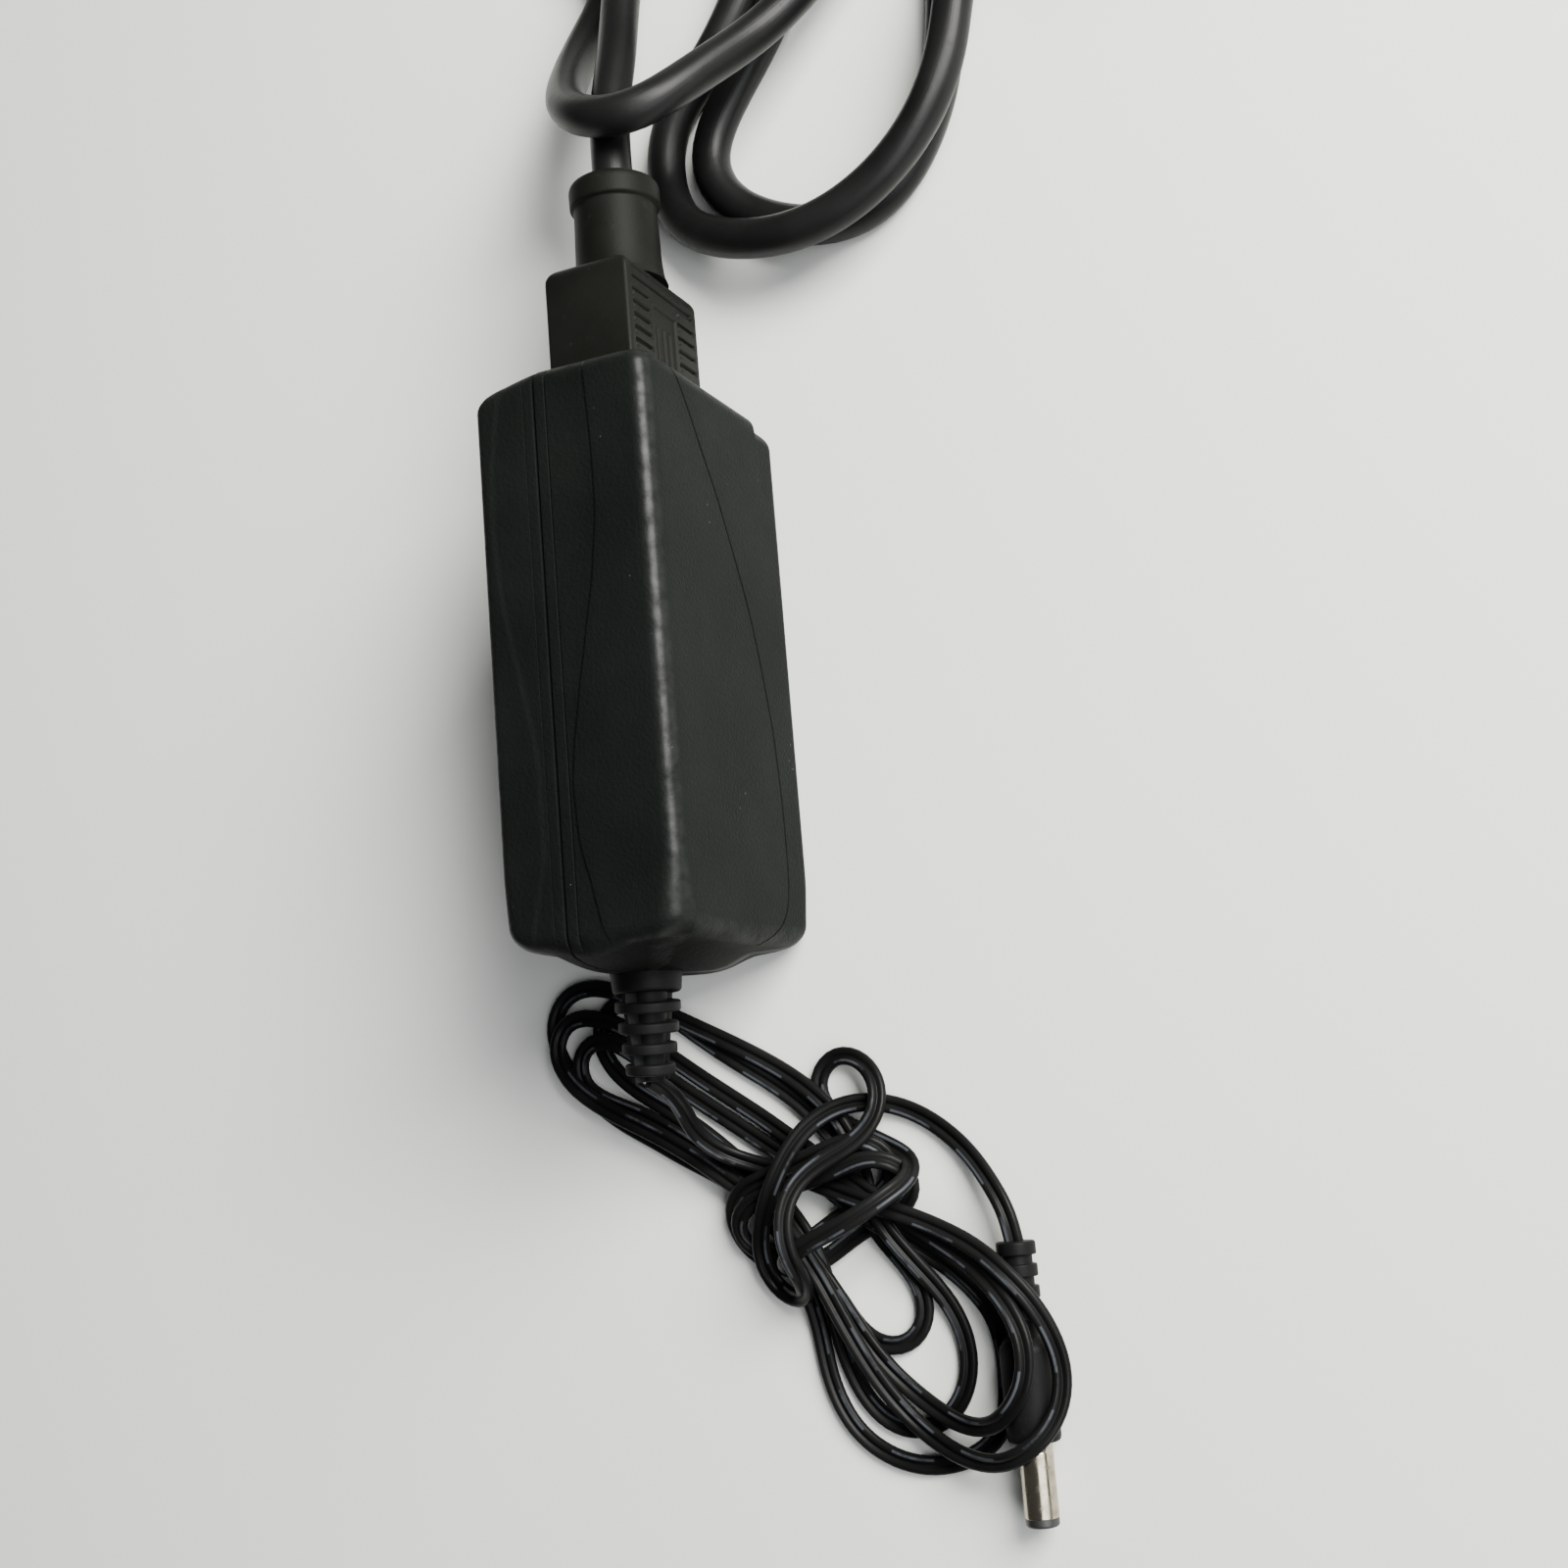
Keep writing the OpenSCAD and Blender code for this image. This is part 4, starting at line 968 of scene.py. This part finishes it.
connectorGrip = {
    "halfWidth": 8.0,
    "low": 12.0,
    "high": 38.0,
    "from": 48.1,
    "to": 69.9,
    "edge": 0.7,
    "endAcross": 2.4,
    "endHigh": 1.7,
    "grooveDepth": 0.55,
    "grooveWidth": 0.3,
    # columns of hooked grooves on the wide faces: first y, spacing, z from, z to
    "columns": [(63.8, 2.3, 35.9, 30.2), (65.4, 2.5, 19.6, 13.9)],
    "grooves": 5,
    "hook": 0.95,
    "across": [67.9, 66.1],
    "acrossHeights": (14.2, 35.8),
    "panel": (50.6, 63.2, 20.6, 29.0),
    "panelDepth": 0.4,
    "panelRibs": [22.9, 24.8, 26.7],
}


def strokeDistance(y, z, start, end):
    # distance from (y, z) to a straight stroke
    start, end = np.array(start, float), np.array(end, float)
    leg = end - start
    share = np.clip(((y - start[0]) * leg[0] + (z - start[1]) * leg[1]) / (leg @ leg), 0, 1)
    return np.hypot(y - start[0] - share * leg[0], z - start[1] - share * leg[1])


def connectorRelief(y, z):
    # how far the wide faces are cut in: cross grooves, two columns of hooked grooves, and a ribbed panel
    gap = np.full(y.shape, 99.0)
    start, end = connectorGrip["acrossHeights"]
    for at in connectorGrip["across"]:
        gap = np.minimum(gap, strokeDistance(y, z, (at, start), (at, end)))
    for first, spacing, start, end in connectorGrip["columns"]:
        for at in first - spacing * np.arange(connectorGrip["grooves"]):
            gap = np.minimum(gap, strokeDistance(y, z, (at, start), (at, end)))
            gap = np.minimum(gap, strokeDistance(y, z, (at, start), (at - connectorGrip["hook"], start)))
    cut = connectorGrip["grooveDepth"] * np.exp(-(gap / connectorGrip["grooveWidth"]) ** 4)
    fromY, toY, low, high = connectorGrip["panel"]
    inside = smoothStep(y, fromY, fromY + 0.3) * (1 - smoothStep(y, toY - 0.3, toY))
    inside = inside * smoothStep(z, low, low + 0.3) * (1 - smoothStep(z, high - 0.3, high))
    ribs = sum(np.exp(-((z - at) / 0.38) ** 4) for at in connectorGrip["panelRibs"])
    ribs = ribs * smoothStep(y, fromY + 2.4, fromY + 2.8) * (1 - smoothStep(y, toY - 3.4, toY - 3.0))
    return np.maximum(cut, inside * connectorGrip["panelDepth"] * (1 - 0.9 * ribs))


def makeConnectorGrip():
    # rounded rectangle carried along Y, drawn in over the boot's end, its wide faces cut by the grooves
    c = connectorGrip
    half, edge = c["halfWidth"], c["edge"]
    bend = np.linspace(0, np.pi / 2, 5)
    tall = runs((c["low"] + edge, c["high"] - edge, 100))
    right = [np.full(len(tall), half), half - edge + edge * np.cos(bend[1:]), [0.0]]
    left = [-half + edge - edge * np.sin(bend[:-1]), np.full(len(tall), -half)]
    under = [-half + edge - edge * np.cos(bend[1:]), [0.0], half - edge + edge * np.sin(bend[:-1])]
    x = np.concatenate(right + left + under)
    z = np.concatenate([tall, c["high"] - edge + edge * np.sin(bend[1:]), [c["high"]],
                        c["high"] - edge + edge * np.cos(bend[:-1]), tall[::-1],
                        c["low"] + edge - edge * np.sin(bend[1:]), [c["low"]],
                        c["low"] + edge - edge * np.cos(bend[:-1])])
    body = runs((c["from"], c["to"] - c["endAcross"], 92))
    turn = np.linspace(0, np.pi / 2, 9)[1:]
    along = np.concatenate([body, c["to"] - c["endAcross"] + c["endAcross"] * np.sin(turn)])
    drawn = np.concatenate([np.zeros(len(body)), 1 - np.cos(turn)])[:, None]
    mid = (c["low"] + c["high"]) / 2
    y = np.broadcast_to(along[:, None], (len(along), len(x)))
    wide = np.abs(np.abs(x) - half) < 1e-9
    cut = np.where(wide[None, :], connectorRelief(y, np.broadcast_to(z, y.shape)), 0)
    across = x[None, :] * (1 - drawn * c["endAcross"] / half) - np.sign(x)[None, :] * cut
    high = mid + (z[None, :] - mid) * (1 - drawn * c["endHigh"] / (c["high"] - mid))
    rings = capped(np.stack([across, y, high], -1))
    makePiece("connectorGrip", rings, gridQuads(len(rings), len(x), closeColumns=True), "mains_lead",
              "connector_pvc", ["connector_body"], sharp=40)


boot = {
    "centre": (0, 0, 25),
    "profile": [
        (69.5, 0, 0), (69.5, 8.4, 0), (70.8, 7.9, 0.8), (73.5, 7.6, 1), (83.9, 7.3, 0.3),
        (84.3, 8.0, 0.4), (88.8, 8.1, 2.0), (88.8, 4.5, 0.8), (87.6, 3.9, 0.2), (86.6, 3.9, 0),
        (86.6, 0, 0)],
    "sides": 72,
}


def makeTurned(name, spec, body, slot, node, hollow=False):
    # a filleted profile turned once round its axis; a hollow one closes on itself
    rings = turned(filletedProfile(spec["profile"]), spec["sides"], spec["centre"])
    quads = gridQuads(len(rings), spec["sides"], closeRows=hollow, closeColumns=True)
    return makePiece(name, rings, quads, body, slot, [node], sharp=35)


makeConnectorGrip()
makeTurned("connectorBoot", boot, "mains_lead", "connector_pvc", "connector_boot")
print("mains connector made")


# mains plug and the strap round the tied cord, both outside the camera's view

plugBody = {
    "middle": (101, 11),
    "half": (13, 11),
    # along Y: place, share of the half width, share of the half height, squareness
    "stations": [
        (142, 0.90, 0.88, 5), (142.6, 0.97, 0.96, 5), (144.4, 1.0, 1.0, 5), (150, 1.0, 1.0, 5),
        (158, 0.90, 0.97, 4.4), (166, 0.88, 0.95, 4), (171, 0.86, 0.92, 3.6), (175.4, 0.74, 0.82, 3),
        (178, 0.56, 0.66, 2.3), (179.6, 0.47, 0.555, 2), (181, 0.46, 0.545, 2), (190, 0.42, 0.50, 2)],
    # grooves: from, to, pitch, depth
    "ribs": (153.5, 169.5, 2.0, 0.55),
    "neckRings": (181.6, 189.4, 2.0, 0.7),
    "neckFrom": 175,
    "sides": 96,
}


def makePlugBody():
    # squared ellipse with sizes read from the stations; its ribs are shallow cosine grooves
    angle = np.linspace(0, 2 * np.pi, plugBody["sides"], endpoint=False)
    stations = np.array(plugBody["stations"])
    along = np.concatenate([np.linspace(142, 146, 14)[:-1], np.linspace(146, 190, 177)])
    wide, high, square = (np.interp(along, stations[:, 0], stations[:, k])[:, None] for k in (1, 2, 3))
    wide, high, square = (softened(part, 4) for part in (wide, high, square))
    reach = (np.abs(np.cos(angle)) ** square + np.abs(np.sin(angle)) ** square) ** (-1 / square)
    cut = 0
    for start, end, pitch, depth in (plugBody["ribs"], plugBody["neckRings"]):
        wave = np.clip(-np.cos(2 * np.pi * (along - start) / pitch) * 1.4, 0, 1)
        inside = (along > start) & (along < end)
        cut = cut + (depth * wave * inside)[:, None]
    sideOnly = smoothStep(np.abs(np.cos(angle)), 0.5, 0.8)
    cut = cut * np.where(along[:, None] < plugBody["neckFrom"], sideOnly, 1.0)
    x = plugBody["middle"][0] + (plugBody["half"][0] * wide * reach - cut) * np.cos(angle)
    z = plugBody["middle"][1] + (plugBody["half"][1] * high * reach - cut) * np.sin(angle)
    rings = capped(np.stack([x, np.broadcast_to(along[:, None], x.shape), z], -1))
    quads = gridQuads(len(rings), len(angle), closeColumns=True)
    return makePiece("mainsPlugBody", rings, quads, "mains_lead", "connector_pvc", ["mains_plug_body"],
                     sharp=45)


strap = {
    "from": 186.4,
    "to": 194.6,
    "hank": (15, 86),
    "rows": 12,
    "gap": 0.05,
    "thickness": 0.75,
    "softEdge": 0.8,
    "directions": 120,
}


def makeStrap():
    # closed band: on each row the outline pulled tight round the circles of the cords that pass there
    rowPlaces = np.linspace(strap["from"], strap["to"], strap["rows"])
    angle = np.linspace(0, 2 * np.pi, strap["directions"], endpoint=False)
    out = np.stack([np.cos(angle), np.sin(angle)], 1)
    inner = []
    for place in rowPlaces:
        before = mainsPath[:-1, 1] - place
        after = mainsPath[1:, 1] - place
        inHank = (mainsPath[:-1, 0] > strap["hank"][0]) & (mainsPath[:-1, 0] < strap["hank"][1])
        here = np.nonzero((before * after <= 0) & inHank)[0]
        share = (before[here] / (before[here] - after[here]))[:, None]
        middles = mainsPath[here][:, [0, 2]] * (1 - share) + mainsPath[here + 1][:, [0, 2]] * share
        farthest = (middles @ out.T).argmax(0)
        inner.append(middles[farthest] + out * (mainsCord["radius"] + strap["gap"]))
    inner = np.array(inner)
    outer = inner + out[None] * strap["thickness"]
    inner[..., 1] = np.maximum(inner[..., 1], 0.45)
    outer[..., 1] = np.maximum(outer[..., 1], 0.02)
    soft = np.minimum(rowPlaces - strap["from"], strap["to"] - rowPlaces) / strap["softEdge"]
    soft = np.clip(soft, 0, 1)[:, None, None]
    middle = (inner + outer) / 2
    outer = middle + (outer - middle) * (0.45 + 0.55 * soft)
    section = np.concatenate([inner, outer[::-1]], 0)
    y = np.broadcast_to(np.concatenate([rowPlaces, rowPlaces[::-1]])[:, None], section.shape[:2])
    rings = np.stack([section[..., 0], y, section[..., 1]], -1)
    quads = gridQuads(len(rings), len(angle), closeRows=True, closeColumns=True)
    return makePiece("tieStrap", rings, quads, "mains_lead", "tie_strap", ["hank_tie"], sharp=50)


plugPiece = makePlugBody()
strapPiece = makeStrap()
print("mains plug and strap made")


# low-voltage lead: strain relief at the case, and the barrel plug

relief = {
    "flange": [(-44.0, 0, 0), (-44.0, 5.4, 0.3), (-42.1, 5.4, 0.3), (-42.1, 0, 0)],
    "collar": [
        (-53.4, 0, 0), (-53.4, 5.7, 0.7), (-50.3, 6.0, 0.5), (-49.4, 6.0, 0), (-49.4, 3.9, 0),
        (-42.2, 3.9, 0), (-42.2, 0, 0)],
    "middle": (-4.7, 0, 24.5),
    "root": (-4.7, -52.9, 24.5),
    "ahead": (-0.0866, -0.9898, -0.1132),
    "spine": (-0.36, 0.0, 0.94),
    "length": 14.9,
    "core": (3.4, 2.3),
    "plates": 4,
    "plateFirst": 1.7,
    "platePitch": 3.45,
    "plateThick": 1.8,
    "plateRadius": 5.5,
    "plateStep": 0.45,
    "spineHalfWidth": 0.95,
    "sides": 64,
}


def reliefPoints(local):
    # local (toward the spine, across, along) placed on the leaning axis
    ahead = unitRows(np.array([relief["ahead"]]))[0]
    spine = np.array(relief["spine"])
    spine = unitRows((spine - ahead * (spine @ ahead))[None])[0]
    across = np.cross(ahead, spine)
    return np.array(relief["root"]) + local @ np.stack([spine, across, ahead])


def reliefDisc(start, thick, radius):
    # plate with rounded edges: a filleted profile turned round the leaning axis
    profile = filletedProfile([(start, 0, 0), (start, radius, 0.45), (start + thick, radius, 0.45),
                               (start + thick, 0, 0)])
    rings = turned(profile, relief["sides"], (0, 0, 0), axis=2)
    return reliefPoints(rings.reshape(-1, 3)), gridQuads(len(rings), relief["sides"], closeColumns=True)


def reliefSpine(side):
    # bar through all the plates on one side of the core, its outer edge just under the plates' rims
    half = relief["spineHalfWidth"]
    along = np.linspace(0, relief["length"], 20)[:, None]
    top = relief["plateRadius"] - 0.35 - relief["plateStep"] * np.clip(
        (along - relief["plateFirst"]) / relief["platePitch"], 0, 3)
    corner = np.array([(0.2, -1.0), (0.62, -1.0), (0.86, -0.86), (1.0, -0.45)])
    corner = np.concatenate([corner, corner[::-1] * (1, -1)])
    toward = side * corner[None, :, 0] * top
    across = np.broadcast_to(corner[None, :, 1] * half, toward.shape)
    rings = capped(np.stack([toward, across, np.broadcast_to(along, toward.shape)], -1))
    return reliefPoints(rings.reshape(-1, 3)), gridQuads(len(rings), len(corner), closeColumns=True)


def outward(part):
    # quads turned so that the part's own volume is positive
    points, quads = part
    return (points, quads if signedVolume(points - points.mean(0), quads) > 0 else quads[:, ::-1])


def makeRelief():
    # flange in the shells' groove, collar, core on the leaning axis, plates at one pitch, and two spines
    sides = relief["sides"]
    parts = []
    for key in ("flange", "collar"):
        rings = turned(filletedProfile(relief[key]), sides, relief["middle"])
        parts.append((rings.reshape(-1, 3), gridQuads(len(rings), sides, closeColumns=True)))
    first, last = relief["core"]
    core = filletedProfile([(-0.6, 0, 0), (-0.6, first, 0), (relief["length"] - 1.2, last, 0.4),
                            (relief["length"], last, 0.5), (relief["length"], 0, 0)])
    rings = turned(core, sides, (0, 0, 0), axis=2)
    parts.append((reliefPoints(rings.reshape(-1, 3)), gridQuads(len(rings), sides, closeColumns=True)))
    for i in range(relief["plates"]):
        start = relief["plateFirst"] + i * relief["platePitch"]
        radius = relief["plateRadius"] - relief["plateStep"] * i
        parts.append(reliefDisc(start, relief["plateThick"], radius))
    parts += [reliefSpine(1), reliefSpine(-1)]
    points, quads = joined([outward(part) for part in parts])
    makePiece("strainRelief", points, quads, "adapter", "moulded_pvc", ["output_strain_relief"], sharp=38)


barrelAxis = (48, 0, 4.3)

neckRings = []
for start in (-110.4, -107, -103.6):
    neckRings += [(start, 2.5, 0.1), (start, 3.2, 0.3), (start + 2, 3.2, 0.3), (start + 2, 2.5, 0.1)]

barrelGrip = {
    "centre": barrelAxis,
    "profile": [(-126.1, 0, 0), (-126.1, 2.55, 0), (-129, 2.55, 0), (-129, 4.1, 0.5), (-128.2, 4.3, 0.4),
                (-114.4, 4.3, 0.8), (-113, 3.1, 0.6), (-112.6, 2.5, 0.2)] + neckRings
               + [(-100.2, 2.5, 0.1), (-100.2, 3.2, 0.3), (-98, 3.2, 0.5), (-98, 0, 0)],
    "sides": 64,
}

barrelSleeve = {
    "centre": barrelAxis,
    "profile": [
        (-126, 2.2, 0), (-140.5, 2.2, 0), (-140.5, 2.72, 0.12), (-139.9, 2.75, 0), (-130.6, 2.75, 0.1),
        (-130.4, 2.66, 0.05), (-130.2, 2.75, 0.1), (-129, 2.75, 0), (-129, 2.5, 0), (-126, 2.5, 0),
        (-126, 2.2, 0)],
    "sides": 72,
}

barrelTip = {
    "centre": barrelAxis,
    "profile": [
        (-129, 2.2, 0), (-140.5, 2.2, 0), (-140.5, 2.68, 0), (-141.6, 2.68, 0.3), (-141.9, 2.3, 0.2),
        (-141.9, 1.9, 0.1), (-141.4, 1.45, 0.1), (-129, 1.45, 0), (-129, 2.2, 0)],
    "sides": 72,
}

barrelContact = {
    "centre": barrelAxis,
    "profile": [
        (-129, 1.45, 0), (-141.3, 1.45, 0), (-141.3, 1.25, 0.1), (-140.9, 1.05, 0.1), (-129, 1.05, 0),
        (-129, 1.45, 0)],
    "sides": 48,
}

makeRelief()
barrelPieces = [makeTurned("barrelGrip", barrelGrip, "adapter", "moulded_pvc", "barrel_plug_grip")]
for name, spec, slot, node in [("barrelSleeve", barrelSleeve, "nickel_plate", "barrel_plug_sleeve"),
                               ("barrelTip", barrelTip, "inlet_plastic", "barrel_plug_tip"),
                               ("barrelContact", barrelContact, "contact_brass", "barrel_plug_contact")]:
    barrelPieces.append(makeTurned(name, spec, "adapter", slot, node, hollow=True))
print("strain relief and barrel plug made")


# the low-voltage cord's path in metres, and the lengths of both cords

(flatPath * metre).tolist()
print("cords declared:", round(lengthOf(mainsPath)), "mm and", round(lengthOf(flatPath)), "mm")


# floor and light

stageSet = {
    "floorSize": 6.0,
    "floorColour": (0.72, 0.73, 0.70),
    "world": 0.10,
    "lights": [
        # place, size, power, colour
        ((0.60, 0.34, 0.56), 0.5, 29.0, (1.0, 0.985, 0.95)),
        ((1.05, -0.45, 1.00), 1.2, 22.0, (0.96, 0.99, 1.0)),
    ],
}


def makeFloor():
    half = stageSet["floorSize"] / 2
    mesh = bpy.data.meshes.new("floor")
    corners = [(-half, -half, 0), (half, -half, 0), (half, half, 0), (-half, half, 0)]
    mesh.from_pydata(corners, [], [(0, 1, 2, 3)])
    floor = bpy.data.objects.new("floor", mesh)
    bpy.context.scene.collection.objects.link(floor)
    finish = Finish("floor", roughness=0.75)
    drift = finish.noise(9, 4).between(0.2, 0.8)
    colour = stageSet["floorColour"]
    finish.set("base_color", finish.mixed(drift, darker(colour, 0.985), colour))
    mesh.materials.append(finish.material)


def makeLights():
    for place, size, power, colour in stageSet["lights"]:
        data = bpy.data.lights.new("soft", "AREA")
        data.energy = power
        data.size = size
        data.color = colour
        lamp = bpy.data.objects.new("soft", data)
        bpy.context.scene.collection.objects.link(lamp)
        back = unitRows(np.array([place]) - np.array([[0.0, 0.0, 0.03]]))[0]
        side = unitRows(np.cross([[0.0, 0.0, 1.0]], back[None]))[0]
        turn = np.eye(4)
        turn[:3, 0], turn[:3, 1], turn[:3, 2], turn[:3, 3] = side, np.cross(back, side), back, place
        lamp.matrix_world = Matrix(turn.tolist())
    world = bpy.data.worlds.new("room")
    world.use_nodes = True
    world.node_tree.nodes["Background"].inputs[0].default_value = (0.93, 0.97, 1.0, 1.0)
    world.node_tree.nodes["Background"].inputs[1].default_value = stageSet["world"]
    bpy.context.scene.world = world


makeFloor()
makeLights()
print("floor and lights made")
